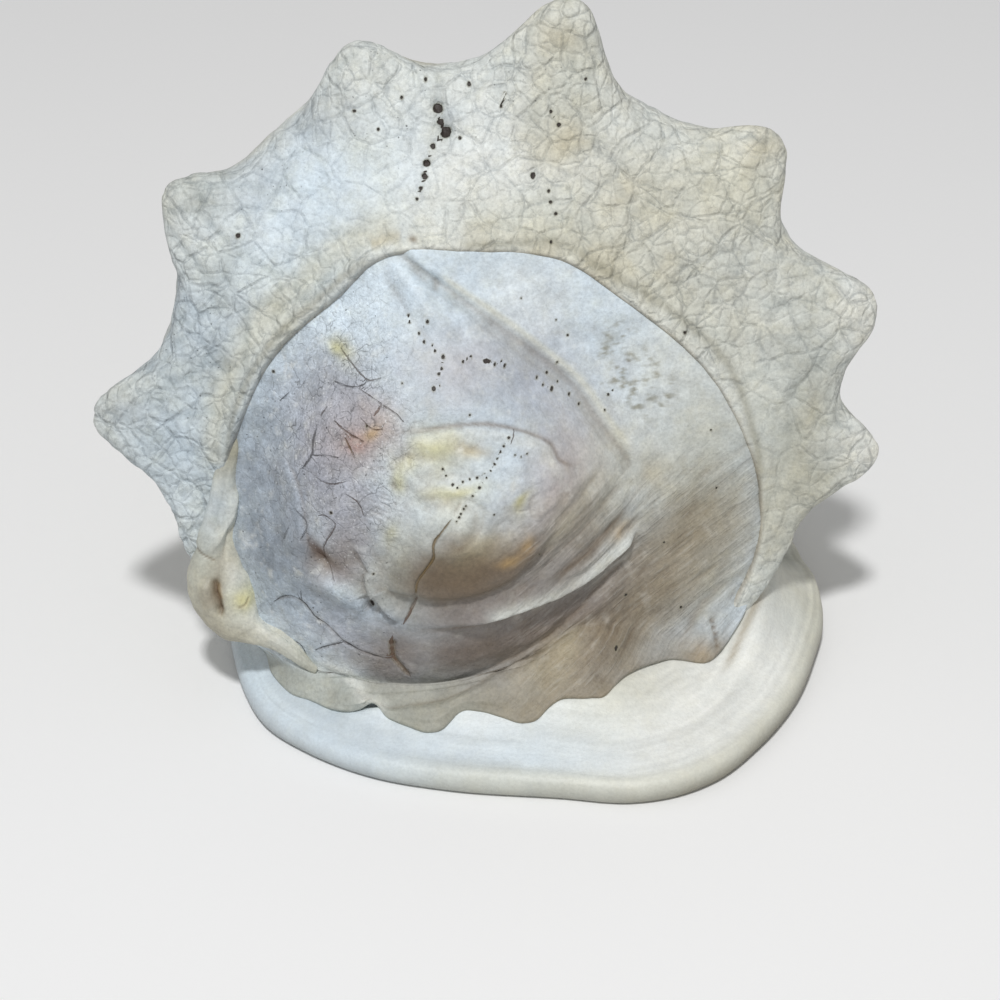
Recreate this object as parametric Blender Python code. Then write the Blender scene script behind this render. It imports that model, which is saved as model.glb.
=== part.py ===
"""Horned helmet shell, one solid grown in one piece.

Run with: blender --background --python part.py
The shell lies on the flat face of its shield, mouth down. +X is the outer lip's side, -Y the spire, +Z the
back of the shell. Lengths below are millimetres, and every angle is a clock angle about the coil axis, seen
from the spire: 0 is straight up, 90 is the outer lip's side.
"""

import math

import bmesh
import bpy
import mathutils
import numpy as np

MM = 0.001

# Coil axis and apex
AXIS_X = -9.0
AXIS_Z = 69.0
APEX_Y = -86.0
# The rounded tip: its share of the way to the spire's middle ring, and how far it stands out from a cone
NUB_SHARE = 0.25
NUB_RISE = 0.8

# Rings of the whorl's outside: (clock angle, radius from the axis, Y)
SPIRE_MIDDLE = [(0, 27, -71), (60, 25, -74), (130, 26, -81), (190, 30, -85), (250, 34, -78), (310, 31, -72)]
SPIRE_EDGE = [
    (5, 46, -50), (30, 39, -52), (60, 40, -54), (86, 46, -56), (108, 51, -60), (137, 48, -70),
    (163, 50, -77), (190, 53, -80), (218, 64, -73), (242, 65, -62), (268, 60, -53), (305, 54, -49),
    (330, 54, -48), (348, 56, -48),
]
WHORL_EDGE = [
    (12, 59, -45), (45, 61, -44), (70, 68, -44), (95, 79, -46), (113, 87, -51), (130, 82, -62),
    (150, 67, -76), (180, 60, -84), (204, 62, -84), (226, 71, -70), (250, 69, -57), (275, 61, -51),
    (300, 58, -49), (325, 57, -47), (350, 60, -46),
]
SHOULDER = [
    (0, 94, -20), (20, 95, -20), (38, 97, -22), (60, 98, -29), (85, 98, -38), (104, 96, -44),
    (122, 92, -52), (150, 70, -63), (180, 62, -68), (210, 64, -67), (235, 76, -59), (262, 77, -52),
    (293, 80, -40), (313, 84, -31), (330, 90, -24),
]

# Rings of the flank, from the shoulder to the front end: Y, height of the ring's centre, its X, and the
# share of the shoulder's radius that is left above the centre and beside it
FLANK = [
    (2.0, 68.0, -8.5, 0.925, 0.985),
    (24.0, 65.0, -7.0, 0.83, 0.95),
    (50.0, 60.0, -5.0, 0.71, 0.85),
    (76.0, 54.0, -3.0, 0.54, 0.66),
    (98.0, 48.0, -1.0, 0.35, 0.44),
    (114.0, 43.0, 1.0, 0.18, 0.24),
]
FRONT_POINT = (1.5, 121.0, 38.0)
LOWEST_FLANK = 6.0

# Shoulder horns: clock angle, radius and Y of the tip, and width of the cone
HORNS = [
    (239, 84, -56, 12.0),
    (276, 96, -46, 11.5),
    (312, 100.5, -30, 11.5),
    (346, 105.5, -20, 10.5),
    (15, 117.5, -17, 11.5),
    (47, 114.5, -22, 11.0),
    (75, 114.5, -32, 11.5),
    (93, 113, -40, 10.0),
]
# Blunt knobs of the two lower rows, behind the horns: clock angle, Y, height, width
KNOBS = [
    (284, 26, 4.5, 8.5), (313, 28, 5.0, 9.0), (345, 30, 5.5, 9.5), (15, 30, 6.0, 9.5), (46, 28, 5.5, 9.0),
    (74, 26, 5.0, 8.5),
    (300, 60, 3.0, 8.5), (330, 62, 3.5, 9.0), (0, 63, 4.0, 9.5), (30, 62, 3.5, 9.0), (60, 60, 3.0, 8.5),
]

BLUNT = 1.6
KNOB_LEAN = 0.25

# Shield and outer lip: plan outline of the rim about its own middle, as (angle from -Y towards +X, radius)
SHIELD_X = 8.0
SHIELD_Y = 4.0
SHIELD_RIM = [
    (5, 115), (14, 121), (19, 122), (25, 120), (34, 113), (45, 105), (56, 98), (65, 94), (74, 89), (85, 82),
    (100, 79), (117, 80), (146, 92), (166, 112), (183, 120), (202, 110), (222, 99), (247, 90), (272, 86),
    (290, 88), (304, 95), (312, 100), (321, 106), (329, 108), (340, 110), (350, 111),
]
RIM_THICK = 8.0
LEDGE_RISE = 11.0
# At the ear the ledge climbs to the whorl: where, over what angle, and by how much more
EAR_ANGLE = 312.0
EAR_SPREAD = 22.0
EAR_RISE = 15.0
DISH_DEPTH = 3.0
LIP_BEAD = 4.0

# Mouth and the hollow of the last whorl
MOUTH_X = 19.0
MOUTH_Y = 16.0
MOUTH_HALF_LENGTH = 84.0
MOUTH_HALF_WIDTH = 9.0
WALL = 6.0
COLUMELLA = 15.0
HOLLOW_START = 102.0
HOLLOW_END = -118.0
HOLLOW_BACK_Y = -24.0
HOLLOW_FRONT_Y = 84.0

# Siphonal canal: centre line and outer radius, bent up behind the front of the mouth
CANAL = [
    (8, 84, 27, 21), (6, 104, 23, 19.5), (4, 118, 25, 17), (3, 127, 35, 14.5), (1, 129, 48, 12.5), (-1, 126, 59, 11),
]
CANAL_BORE = 0.45
CANAL_PAST_END = 6.0
CANAL_POINTS = 24

# Mesh sizes
COLUMNS = 144
RIM_COLUMNS = 120
HOLLOW_POINTS = 28
VOXEL = 2.0
SOFTEN_STEPS = 7
MOST_TRIANGLES = 9200
SHARP_ANGLE = 50.0
FLOOR_CUT = 0.8
# Moves the finished solid so that its box is centred over the origin
BOX_SHIFT = (0.54, -14.185)


def clear_scene():
    for obj in list(bpy.data.objects):
        bpy.data.objects.remove(obj, do_unlink=True)


def around(points, at, column=1):
    """Smooth closed curve through (angle, value...) points, read at the angles `at`, in degrees."""
    angle = np.array([p[0] for p in points], float)
    value = np.array([p[column] for p in points], float)
    angle = np.concatenate([angle - 360, angle, angle + 360])
    value = np.tile(value, 3)
    slope = np.gradient(value, angle)
    at = np.asarray(at, float) % 360
    right = np.searchsorted(angle, at, side="right")
    left = right - 1
    gap = angle[right] - angle[left]
    t = (at - angle[left]) / gap
    return (
        (2 * t**3 - 3 * t**2 + 1) * value[left]
        + (t**3 - 2 * t**2 + t) * gap * slope[left]
        + (3 * t**2 - 2 * t**3) * value[right]
        + (t**3 - t**2) * gap * slope[right]
    )


def ring_points(ring, clock):
    """3-D points of a ring of the spire side."""
    radius = around(ring, clock, 1)
    turn = np.radians(clock)
    return np.stack(
        [AXIS_X + radius * np.sin(turn), around(ring, clock, 2), AXIS_Z + radius * np.cos(turn)], axis=-1
    )


def flank_points(station, clock):
    """3-D points of one ring of the flank, flattened below where the shield takes over."""
    y, centre_z, centre_x, above, beside = station
    turn = np.radians(clock)
    share = above + (beside - above) * np.sin(turn) ** 2
    radius = around(SHOULDER, clock, 1) * share
    drop = (centre_z - LOWEST_FLANK) * np.maximum(-np.cos(turn), 0) ** 0.7
    z = centre_z + np.where(np.cos(turn) > 0, radius * np.cos(turn), -drop)
    return np.stack([centre_x + radius * np.sin(turn), np.full_like(z, y), z], axis=-1)


def through(knots, steps):
    """Rows of a smooth surface through a list of rings, `steps` rows to each gap between two rings."""
    knots = np.array(knots)
    rows = []
    for i in range(len(knots) - 1):
        before = knots[max(i - 1, 0)]
        after = knots[min(i + 2, len(knots) - 1)]
        start, end = knots[i], knots[i + 1]
        length = np.linalg.norm(end - start, axis=-1, keepdims=True)
        tangent_a = (end - before) / 2
        tangent_b = (after - start) / 2
        # Tangents longer than the gap itself would fold a narrow band over
        for tangent in (tangent_a, tangent_b):
            size = np.linalg.norm(tangent, axis=-1, keepdims=True)
            tangent *= np.minimum(1.0, 1.1 * length / np.maximum(size, 1e-9))
        for step in range(steps[i]):
            t = step / steps[i]
            rows.append(
                (2 * t**3 - 3 * t**2 + 1) * start
                + (t**3 - 2 * t**2 + t) * tangent_a
                + (3 * t**2 - 2 * t**3) * end
                + (t**3 - t**2) * tangent_b
            )
    rows.append(knots[-1])
    return np.array(rows)


def raise_bump(rows, surface, base, offset, width):
    """Adds a blunt cone with hollow sides to `rows`, at the place `base` of the surface without bumps."""
    distance = np.linalg.norm(surface - base, axis=-1, keepdims=True)
    skirt = np.exp(-((distance / width) ** 2))
    return rows + offset * (1 - (1 - skirt) ** BLUNT)


def whorl_rows():
    """Rows of points from the apex to the front end, each row one ring of COLUMNS points."""
    clock = np.arange(COLUMNS) * 360.0 / COLUMNS
    apex = np.tile([AXIS_X, APEX_Y, AXIS_Z], (COLUMNS, 1)).astype(float)
    spire = ring_points(SPIRE_EDGE, clock)
    edge = ring_points(WHORL_EDGE, clock)
    shoulder = ring_points(SHOULDER, clock)
    middle = ring_points(SPIRE_MIDDLE, clock)
    nub = apex + (middle - apex) * NUB_SHARE + np.array([0, -NUB_RISE, 0])
    flank = [flank_points(station, clock) for station in FLANK]
    front = np.tile(FRONT_POINT, (COLUMNS, 1)).astype(float)
    knots = [apex, nub, middle, spire, edge, shoulder, *flank, front]
    rows = through(knots, [3, 5, 5, 4, 8, 5, 6, 7, 7, 6, 4, 4])
    rows[-1] = front
    surface = rows.copy()
    for clock_angle, radius, y, width in HORNS:
        base = ring_points(SHOULDER, np.array([float(clock_angle)]))[0]
        turn = math.radians(clock_angle)
        tip = np.array([AXIS_X + radius * math.sin(turn), y, AXIS_Z + radius * math.cos(turn)])
        rows = raise_bump(rows, surface, base, tip - base, width)
    for clock_angle, y, height, width in KNOBS:
        line = surface[len(rows) // 3 :, round(clock_angle / 360 * COLUMNS) % COLUMNS]
        base = line[np.argmin(np.abs(line[:, 1] - y))]
        turn = math.radians(clock_angle)
        outward = np.array([math.sin(turn), KNOB_LEAN, math.cos(turn)])
        rows = raise_bump(rows, surface, base, outward * height, width)
    return rows


def new_object(name, mesh):
    obj = bpy.data.objects.new(name, mesh)
    bpy.context.scene.collection.objects.link(obj)
    return obj


def closed_loft(name, rows, pole_start=False, pole_end=False):
    """Closed mesh through rows of points. A row that is one point is a pole, and any other end is capped."""
    bm = bmesh.new()
    rings = []
    for index, row in enumerate(rows):
        if (index == 0 and pole_start) or (index == len(rows) - 1 and pole_end):
            rings.append([bm.verts.new(row[0] * MM)])
        else:
            rings.append([bm.verts.new(p * MM) for p in row])
    for first, second in zip(rings, rings[1:]):
        count = max(len(first), len(second))
        for i in range(count):
            j = (i + 1) % count
            corners = [
                first[i % len(first)], first[j % len(first)], second[j % len(second)], second[i % len(second)]
            ]
            face = list(dict.fromkeys(corners))
            bm.faces.new(face)
    for ring, is_pole in ((rings[0], pole_start), (rings[-1], pole_end)):
        if not is_pole:
            bm.faces.new(ring)
    bmesh.ops.recalc_face_normals(bm, faces=bm.faces)
    mesh = bpy.data.meshes.new(name)
    bm.to_mesh(mesh)
    bm.free()
    return new_object(name, mesh)


def shield_rows():
    """Rows of the shield and outer lip: from the middle over the top to the rim and back along the flat face."""
    angle = np.arange(RIM_COLUMNS) * 360.0 / RIM_COLUMNS
    turn = np.radians(angle)
    rim = around(SHIELD_RIM, angle)
    lip_side = np.clip(np.sin(turn), 0, 1)
    posterior = np.clip(np.cos(turn), 0, 1)
    thick = RIM_THICK + LIP_BEAD * lip_side**2 * (1 - posterior**2)

    def row(inset, z):
        radius = np.maximum(rim - inset, 0)
        return np.stack([SHIELD_X + radius * np.sin(turn), SHIELD_Y - radius * np.cos(turn), z], axis=-1)

    rise_here = LEDGE_RISE + EAR_RISE * np.exp(-(((angle - EAR_ANGLE + 180) % 360 - 180) / EAR_SPREAD) ** 2)
    rows = []
    for share in (1.0, 0.66, 0.4):
        rows.append(row(rim * share, thick + rise_here))
    for inset, rise in ((26, 0.80), (18, 0.42), (11, 0.14), (6, 0.03), (2.6, -0.02)):
        rows.append(row(np.full_like(turn, inset), thick + rise_here * rise))
    rows.append(row(np.full_like(turn, 0.8), thick * 0.86))
    rows.append(row(np.zeros_like(turn), thick * 0.55))
    rows.append(row(np.full_like(turn, 0.7), thick * 0.2))
    rows.append(row(np.full_like(turn, 2.8), np.zeros_like(turn)))
    rows.append(row(np.full_like(turn, 9.0), np.zeros_like(turn)))
    for share in (0.3, 0.55, 0.8, 1.0):
        rows.append(row(rim * share, np.full_like(turn, DISH_DEPTH * min(1.0, share * 1.6))))
    return rows


def hollow_rows():
    """Loops of the mouth and the hollow behind it: up through the shield, then round the columella."""
    loop = np.arange(HOLLOW_POINTS) * 2 * math.pi / HOLLOW_POINTS
    along, across = np.cos(loop), np.sin(loop)
    # The loop's ends are rounded like a slot's, not pointed
    along = np.sign(along) * np.abs(along) ** 0.8
    across = np.sign(across) * np.abs(across) ** 0.8
    rows = []
    for z, middle_x, half_width, back, front in (
        (-6.0, MOUTH_X, MOUTH_HALF_WIDTH, 0, 0),
        (4.0, MOUTH_X, MOUTH_HALF_WIDTH, 0, 0),
        (16.0, MOUTH_X + 4, MOUTH_HALF_WIDTH + 4, 8, -4),
        (32.0, MOUTH_X + 15, MOUTH_HALF_WIDTH + 16, 22, -14),
    ):
        centre_y = MOUTH_Y + (back + front) / 2
        half_length = MOUTH_HALF_LENGTH + (front - back) / 2
        taper = 1 - 0.55 * np.clip(along, 0, 1) ** 2 * (z > 10)
        rows.append(
            np.stack(
                [middle_x + half_width * across * taper, centre_y + half_length * along, np.full_like(along, z)],
                axis=-1,
            )
        )
    centre_y = (HOLLOW_BACK_Y + HOLLOW_FRONT_Y) / 2
    half_length = (HOLLOW_FRONT_Y - HOLLOW_BACK_Y) / 2
    stations = np.array(FLANK)
    for clock in np.linspace(HOLLOW_START - 22, HOLLOW_END, 9):
        turn = math.radians(clock)
        shrink = 1 - 0.35 * (HOLLOW_START - clock) / (HOLLOW_START - HOLLOW_END)
        y = centre_y + half_length * along
        share = (
            np.interp(y, stations[:, 0], stations[:, 3]) * math.cos(turn) ** 2
            + np.interp(y, stations[:, 0], stations[:, 4]) * math.sin(turn) ** 2
        )
        outer = around(SHOULDER, [clock])[0] * share - WALL
        outer = COLUMELLA + (outer - COLUMELLA) * shrink
        inner = np.minimum(COLUMELLA, outer - 4)
        radius = (outer + inner) / 2 + (outer - inner) / 2 * across
        centre_z = np.interp(y, stations[:, 0], stations[:, 1])
        centre_x = np.interp(y, stations[:, 0], stations[:, 2])
        rows.append(
            np.stack([centre_x + radius * math.sin(turn), y, centre_z + radius * math.cos(turn)], axis=-1)
        )
    return rows


def canal_rows(scale, extend=0.0):
    """Rings square to the canal's centre line. `extend` carries the last ring past the end."""
    path = np.array(CANAL, float)
    points, radii = path[:, :3].copy(), path[:, 3]
    points[-1] += extend * (points[-1] - points[-2]) / np.linalg.norm(points[-1] - points[-2])
    turn = np.arange(CANAL_POINTS) * 2 * math.pi / CANAL_POINTS
    rows = []
    for i, centre in enumerate(points):
        ahead = points[min(i + 1, len(points) - 1)] - points[max(i - 1, 0)]
        ahead /= np.linalg.norm(ahead)
        side = np.array([1.0, 0, 0]) - ahead * ahead[0]
        side /= np.linalg.norm(side)
        up = np.cross(side, ahead)
        ring = centre + radii[i] * scale * (np.outer(np.cos(turn), side) + np.outer(np.sin(turn), up))
        rows.append(ring)
    return rows


def hide_as_cutter(obj):
    obj.hide_render = True
    obj.display_type = "WIRE"


def cut(obj, cutter, name):
    """Adds a Boolean that takes the cutter's shape out of the object."""
    modifier = obj.modifiers.new(name, "BOOLEAN")
    modifier.operation = "DIFFERENCE"
    modifier.object = cutter


def apply_modifiers(obj):
    """Makes the object's evaluated mesh its own mesh."""
    graph = bpy.context.evaluated_depsgraph_get()
    mesh = bpy.data.meshes.new_from_object(obj.evaluated_get(graph))
    obj.modifiers.clear()
    obj.data = mesh


def box_cutter(name, low, high):
    bm = bmesh.new()
    bmesh.ops.create_cube(bm, size=1.0)
    size = [(b - a) * MM for a, b in zip(low, high)]
    bmesh.ops.scale(bm, vec=size, verts=bm.verts)
    bmesh.ops.translate(bm, vec=[(a + b) / 2 * MM for a, b in zip(low, high)], verts=bm.verts)
    mesh = bpy.data.meshes.new(name)
    bm.to_mesh(mesh)
    bm.free()
    cutter = new_object(name, mesh)
    hide_as_cutter(cutter)
    return cutter


def shell_material():
    material = bpy.data.materials.new("bleached_shell")
    material.use_nodes = True
    shader = material.node_tree.nodes["Principled BSDF"]
    shader.inputs["Base Color"].default_value = (0.66, 0.66, 0.62, 1)
    shader.inputs["Roughness"].default_value = 0.55
    shader.inputs["Metallic"].default_value = 0.0
    return material


def joined(name, objects):
    """One object holding the meshes of several, still as overlapping closed bodies."""
    bm = bmesh.new()
    for obj in objects:
        bm.from_mesh(obj.data)
    mesh = bpy.data.meshes.new(name)
    bm.to_mesh(mesh)
    bm.free()
    for obj in objects:
        bpy.data.objects.remove(obj, do_unlink=True)
    return new_object(name, mesh)


def fused(shell):
    """The overlapping bodies made one skin, softened where they cross and thinned out, with a flat base."""
    remesh = shell.modifiers.new("fuse", "REMESH")
    remesh.mode = "VOXEL"
    remesh.voxel_size = VOXEL * MM
    remesh.adaptivity = 0.0
    soften = shell.modifiers.new("soften", "SMOOTH")
    soften.factor = 0.5
    soften.iterations = SOFTEN_STEPS
    bpy.context.view_layer.update()
    apply_modifiers(shell)

    triangles = sum(len(face.vertices) - 2 for face in shell.data.polygons)
    thin_out = shell.modifiers.new("thin_out", "DECIMATE")
    thin_out.ratio = min(1.0, MOST_TRIANGLES / triangles)
    thin_out.use_collapse_triangulate = True
    cut(shell, box_cutter("floor_cutter", (-400, -400, -60), (400, 400, FLOOR_CUT)), "flat_face")
    bpy.context.view_layer.update()
    apply_modifiers(shell)


def move_mesh(obj, offset):
    mesh = obj.data
    for vertex in mesh.vertices:
        vertex.co += mathutils.Vector(offset)


def build():
    clear_scene()
    whorl = closed_loft("whorl", whorl_rows(), pole_start=True, pole_end=True)
    shield = closed_loft("shield", shield_rows(), pole_start=True, pole_end=True)
    canal = closed_loft("canal", canal_rows(1.0))
    hollow = closed_loft("hollow_cutter", hollow_rows())
    bore = closed_loft("canal_cutter", canal_rows(CANAL_BORE, CANAL_PAST_END))
    for cutter in (hollow, bore):
        hide_as_cutter(cutter)
    for body in (whorl, shield, canal):
        cut(body, hollow, "hollow")
        cut(body, bore, "canal_bore")
        bpy.context.view_layer.update()
        apply_modifiers(body)

    shell = joined("shell", [whorl, shield, canal])
    fused(shell)
    move_mesh(shell, (BOX_SHIFT[0] * MM, BOX_SHIFT[1] * MM, -FLOOR_CUT * MM))
    shell.data.shade_smooth()
    shell.data.set_sharp_from_angle(angle=math.radians(SHARP_ANGLE))
    shell.data.materials.clear()
    shell.data.materials.append(shell_material())


build()
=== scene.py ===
import math

import bpy
import numpy as np
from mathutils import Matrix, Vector


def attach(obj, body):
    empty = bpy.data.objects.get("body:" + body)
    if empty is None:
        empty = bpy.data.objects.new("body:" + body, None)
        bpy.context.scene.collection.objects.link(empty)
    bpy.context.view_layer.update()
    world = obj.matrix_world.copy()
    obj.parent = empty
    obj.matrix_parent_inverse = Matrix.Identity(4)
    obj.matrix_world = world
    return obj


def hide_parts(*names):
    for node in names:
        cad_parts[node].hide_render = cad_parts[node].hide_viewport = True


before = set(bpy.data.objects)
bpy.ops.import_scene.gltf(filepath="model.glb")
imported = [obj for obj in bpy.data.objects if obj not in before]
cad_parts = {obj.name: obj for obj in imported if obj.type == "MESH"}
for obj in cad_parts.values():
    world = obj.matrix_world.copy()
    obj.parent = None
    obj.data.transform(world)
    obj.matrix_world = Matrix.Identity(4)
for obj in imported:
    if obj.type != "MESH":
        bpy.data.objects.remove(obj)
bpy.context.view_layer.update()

mm = 0.001
toBox = np.array([0.54, -14.185, -0.8])  # from the coil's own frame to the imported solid's, in mm
floorHeight = 0.8  # the shield's flat face, in the coil's own frame

# All lengths below are mm in the coil's own frame: +x the outer lip's side, -y the spire, +z the back.
# Clock angles are seen from the spire, 0 straight up and 90 on the outer lip's side.
# A ring is a list of (clock angle, radius from the coil's axis, y).
coil = {
    "axis": (-9.0, 69.0),
    "apexY": -86.0,
    "nubShare": 0.25,
    "nubRise": 0.8,
    "spireMiddle": [(0, 27, -71), (60, 25, -74), (130, 26, -81), (190, 30, -85), (250, 34, -78),
                    (310, 31, -72)],
    "spireEdge": [
        (5, 46, -50), (30, 39, -52), (60, 40, -54), (86, 46, -56), (108, 51, -60), (137, 48, -70),
        (163, 50, -77), (190, 53, -80), (218, 62, -73), (242, 60, -65), (268, 51, -59), (305, 47, -54),
        (330, 47, -53), (348, 50, -50.5),
    ],
    "whorlEdge": [
        (3, 57, -46.5), (15, 58.2, -45.2), (27, 59.9, -44), (45, 60.2, -44.2), (57, 62.9, -44),
        (70, 67.9, -44), (82, 72.8, -44.5), (95, 78.9, -46.2), (107, 84.5, -49.5), (114, 86, -52),
        (130, 82, -62), (150, 67, -76), (180, 60, -84), (204, 62, -84), (226, 70, -70), (242, 69.5, -60.5),
        (251, 66.5, -57.2), (260, 61.6, -55.3), (270, 58.1, -54.3), (281, 56, -52.8), (293, 54.8, -50.6),
        (305, 54.2, -49), (318, 53.3, -48.8), (329, 54.2, -48.2), (341, 58, -46.8), (352, 58, -46.5),
    ],
    "shoulder": [
        (0, 94, -20), (20, 95, -20), (38, 97, -22), (60, 98, -29), (85, 98, -38), (104, 96, -44),
        (122, 92, -52), (150, 70, -63), (180, 62, -68), (210, 64, -67), (235, 76, -59), (262, 77, -52),
        (293, 80, -40), (313, 84, -31), (330, 90, -24),
    ],
    # The flank's rings: y, height of the centre, its x, share of the shoulder's radius above, and beside
    "flank": [
        (2.0, 68.0, -8.5, 0.925, 0.985),
        (24.0, 65.0, -7.0, 0.83, 0.95),
        (50.0, 60.0, -5.0, 0.71, 0.85),
        (76.0, 54.0, -3.0, 0.54, 0.66),
        (98.0, 48.0, -1.0, 0.35, 0.44),
        (114.0, 43.0, 1.0, 0.18, 0.24),
    ],
    "front": (1.5, 121.0, 38.0),
    "lowestFlank": 6.0,
}

horns = {
    # clock angle, radius and y of the tip, width
    "tips": [
        (276, 96, -46, 11.5), (312, 100.5, -30, 11.5), (346, 105.5, -20, 10.5),
        (15, 117.5, -17, 11.5), (47, 114.5, -22, 11.0), (72.4, 116.5, -32, 12.5), (93, 113.5, -40, 10.0),
    ],
    # clock angle, y, height, width of the lower rows of knobs
    "knobs": [
        (284, 26, 4.5, 8.5), (313, 28, 5.0, 9.0), (345, 30, 5.5, 9.5), (15, 30, 6.0, 9.5), (46, 28, 5.5, 9.0),
        (74, 26, 5.0, 8.5), (300, 60, 3.0, 8.5), (330, 62, 3.5, 9.0), (0, 63, 4.0, 9.5), (30, 62, 3.5, 9.0),
        (60, 60, 3.0, 8.5),
    ],
    "blunt": 1.6,
    "lean": 0.25,
}

shieldShape = {
    "middle": (8.0, 4.0),
    # outline of the rim: angle from -y towards +x, radius from the middle
    "rim": [
        (5, 114.4), (14, 119.5), (19, 120.2), (25, 118.6), (34, 112.4), (45, 105), (56, 98), (65, 94),
        (74, 89), (85, 82), (100, 79), (117, 80), (146, 92), (166, 112), (183, 120), (202, 110), (222, 99),
        (247, 90), (272, 86), (290, 88), (304, 95), (312, 101), (321, 107.6), (329, 110), (340, 112),
        (350, 112.2),
    ],
    "thick": 8.0,
    "lipBead": 4.0,
    # where the ledge meets the whorl: angle, inset from the rim, height
    "foot": [
        (0, 26, 17.5), (14, 29, 17.5), (27, 33, 17), (36, 29, 18), (46, 22, 27), (56, 18, 33), (75, 18, 28),
        (100, 26, 21), (150, 26, 19), (200, 26, 19), (260, 26, 20), (290, 22, 26), (312, 22, 30),
        (328, 22, 24), (345, 24, 18),
    ],
    "hollowOfLedge": 2.0,
}


def aroundCurve(points, at, column=1):
    # smooth closed curve through (angle, value...) points
    angle = np.array([p[0] for p in points], float)
    value = np.array([p[column] for p in points], float)
    angle = np.concatenate([angle - 360, angle, angle + 360])
    value = np.tile(value, 3)
    slope = np.gradient(value, angle)
    at = np.asarray(at, float) % 360
    right = np.searchsorted(angle, at, side="right")
    left = right - 1
    gap = angle[right] - angle[left]
    t = (at - angle[left]) / gap
    return (
        (2 * t**3 - 3 * t**2 + 1) * value[left] + (t**3 - 2 * t**2 + t) * gap * slope[left]
        + (3 * t**2 - 2 * t**3) * value[right] + (t**3 - t**2) * gap * slope[right]
    )


def ringOf(points, clock):
    # ring of points round the coil's axis
    radius = aroundCurve(points, clock, 1)
    turn = np.radians(clock)
    axisX, axisZ = coil["axis"]
    return np.stack(
        [axisX + radius * np.sin(turn), aroundCurve(points, clock, 2), axisZ + radius * np.cos(turn)], axis=-1
    )


def flankRing(station, clock):
    # ring of the last whorl behind the shoulder, flattened below
    y, centreZ, centreX, above, beside = station
    turn = np.radians(clock)
    radius = aroundCurve(coil["shoulder"], clock, 1) * (above + (beside - above) * np.sin(turn) ** 2)
    drop = (centreZ - coil["lowestFlank"]) * np.maximum(-np.cos(turn), 0) ** 0.7
    z = centreZ + np.where(np.cos(turn) > 0, radius * np.cos(turn), -drop)
    return np.stack([centreX + radius * np.sin(turn), np.full_like(z, y), z], axis=-1)


def throughRings(knots, steps, crowded=-1):
    # rows of a smooth surface through a list of rings, so many rows to each gap;
    # they lie closer at the start of the crowded gap
    knots = np.array(knots)
    rows = []
    for i in range(len(knots) - 1):
        before, after = knots[max(i - 1, 0)], knots[min(i + 2, len(knots) - 1)]
        start, end = knots[i], knots[i + 1]
        length = np.linalg.norm(end - start, axis=-1, keepdims=True)
        tangents = [(end - before) / 2, (after - start) / 2]
        for tangent in tangents:
            size = np.linalg.norm(tangent, axis=-1, keepdims=True)
            tangent *= np.minimum(1.0, 1.1 * length / np.maximum(size, 1e-9))
        spread = 1.0 if i != crowded else 1.35
        for step in range(steps[i]):
            t = (step / steps[i]) ** spread
            rows.append(
                (2 * t**3 - 3 * t**2 + 1) * start + (t**3 - 2 * t**2 + t) * tangents[0]
                + (3 * t**2 - 2 * t**3) * end + (t**3 - t**2) * tangents[1]
            )
    rows.append(knots[-1])
    return np.array(rows)


def coilKnots(clock):
    # the rings that the whorls pass through, from the apex to the front
    axisX, axisZ = coil["axis"]
    apex = np.tile([axisX, coil["apexY"], axisZ], (len(clock), 1)).astype(float)
    middle = ringOf(coil["spireMiddle"], clock)
    nub = apex + (middle - apex) * coil["nubShare"] + np.array([0, -coil["nubRise"], 0])
    flank = [flankRing(station, clock) for station in coil["flank"]]
    front = np.tile(coil["front"], (len(clock), 1)).astype(float)
    edges = [ringOf(coil[name], clock) for name in ("spireEdge", "whorlEdge", "shoulder")]
    return [apex, nub, middle, *edges, *flank, front]


def raiseBump(rows, surface, base, offset, width):
    # a blunt cone with hollow sides
    distance = np.linalg.norm(surface - base, axis=-1, keepdims=True)
    skirt = np.exp(-((distance / width) ** 2))
    return rows + offset * (1 - (1 - skirt) ** horns["blunt"])


def relaxed(rows, times):
    # evens the rows out, round the ring and along it, with the first and last row held
    rows = rows.copy()
    for _ in range(times):
        around = (np.roll(rows, 1, axis=1) + np.roll(rows, -1, axis=1)) / 2
        rows[1:-1] = 0.4 * rows[1:-1] + 0.3 * around[1:-1] + 0.15 * (rows[:-2] + rows[2:])
    return rows


def smoothStep(low, high, value):
    t = np.clip((value - low) / (high - low), 0, 1)
    return t * t * (3 - 2 * t)


def softLine(points, pieces=6):
    # a smooth open line through a few points
    p = np.array(points, float)
    if len(p) < 3:
        return p
    ends = np.concatenate([[2 * p[0] - p[1]], p, [2 * p[-1] - p[-2]]])
    line = []
    for a, b, c, d in zip(ends, ends[1:], ends[2:], ends[3:]):
        for k in range(pieces):
            t = k / pieces
            line.append(0.5 * (2 * b + (c - a) * t + (2 * a - 5 * b + 4 * c - d) * t * t
                               + (3 * b - a - 3 * c + d) * t**3))
    line.append(p[-1])
    return np.array(line)


def acrossLine(place, points):
    # distance from a line, more than 0 to its right; and how far along it, from 0 to 1
    line = softLine(points)
    best = np.full(place.shape[:-1], 1e9)
    signed = np.zeros_like(best)
    along = np.zeros_like(best)
    run = 0.0
    lengths = np.linalg.norm(np.diff(line, axis=0), axis=-1)
    for a, b, length in zip(line, line[1:], lengths):
        step = (b - a) / max(length, 1e-9)
        local = place - a
        t = np.clip(local @ step, 0, length)
        off = local - t[..., None] * step
        distance = np.linalg.norm(off, axis=-1)
        side = np.where(local @ np.array([step[1], -step[0]]) >= 0, 1.0, -1.0)
        closer = distance < best
        best = np.where(closer, distance, best)
        signed = np.where(closer, distance * side, signed)
        along = np.where(closer, (run + t) / lengths.sum(), along)
        run += length
    return signed, along, lengths.sum()


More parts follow.
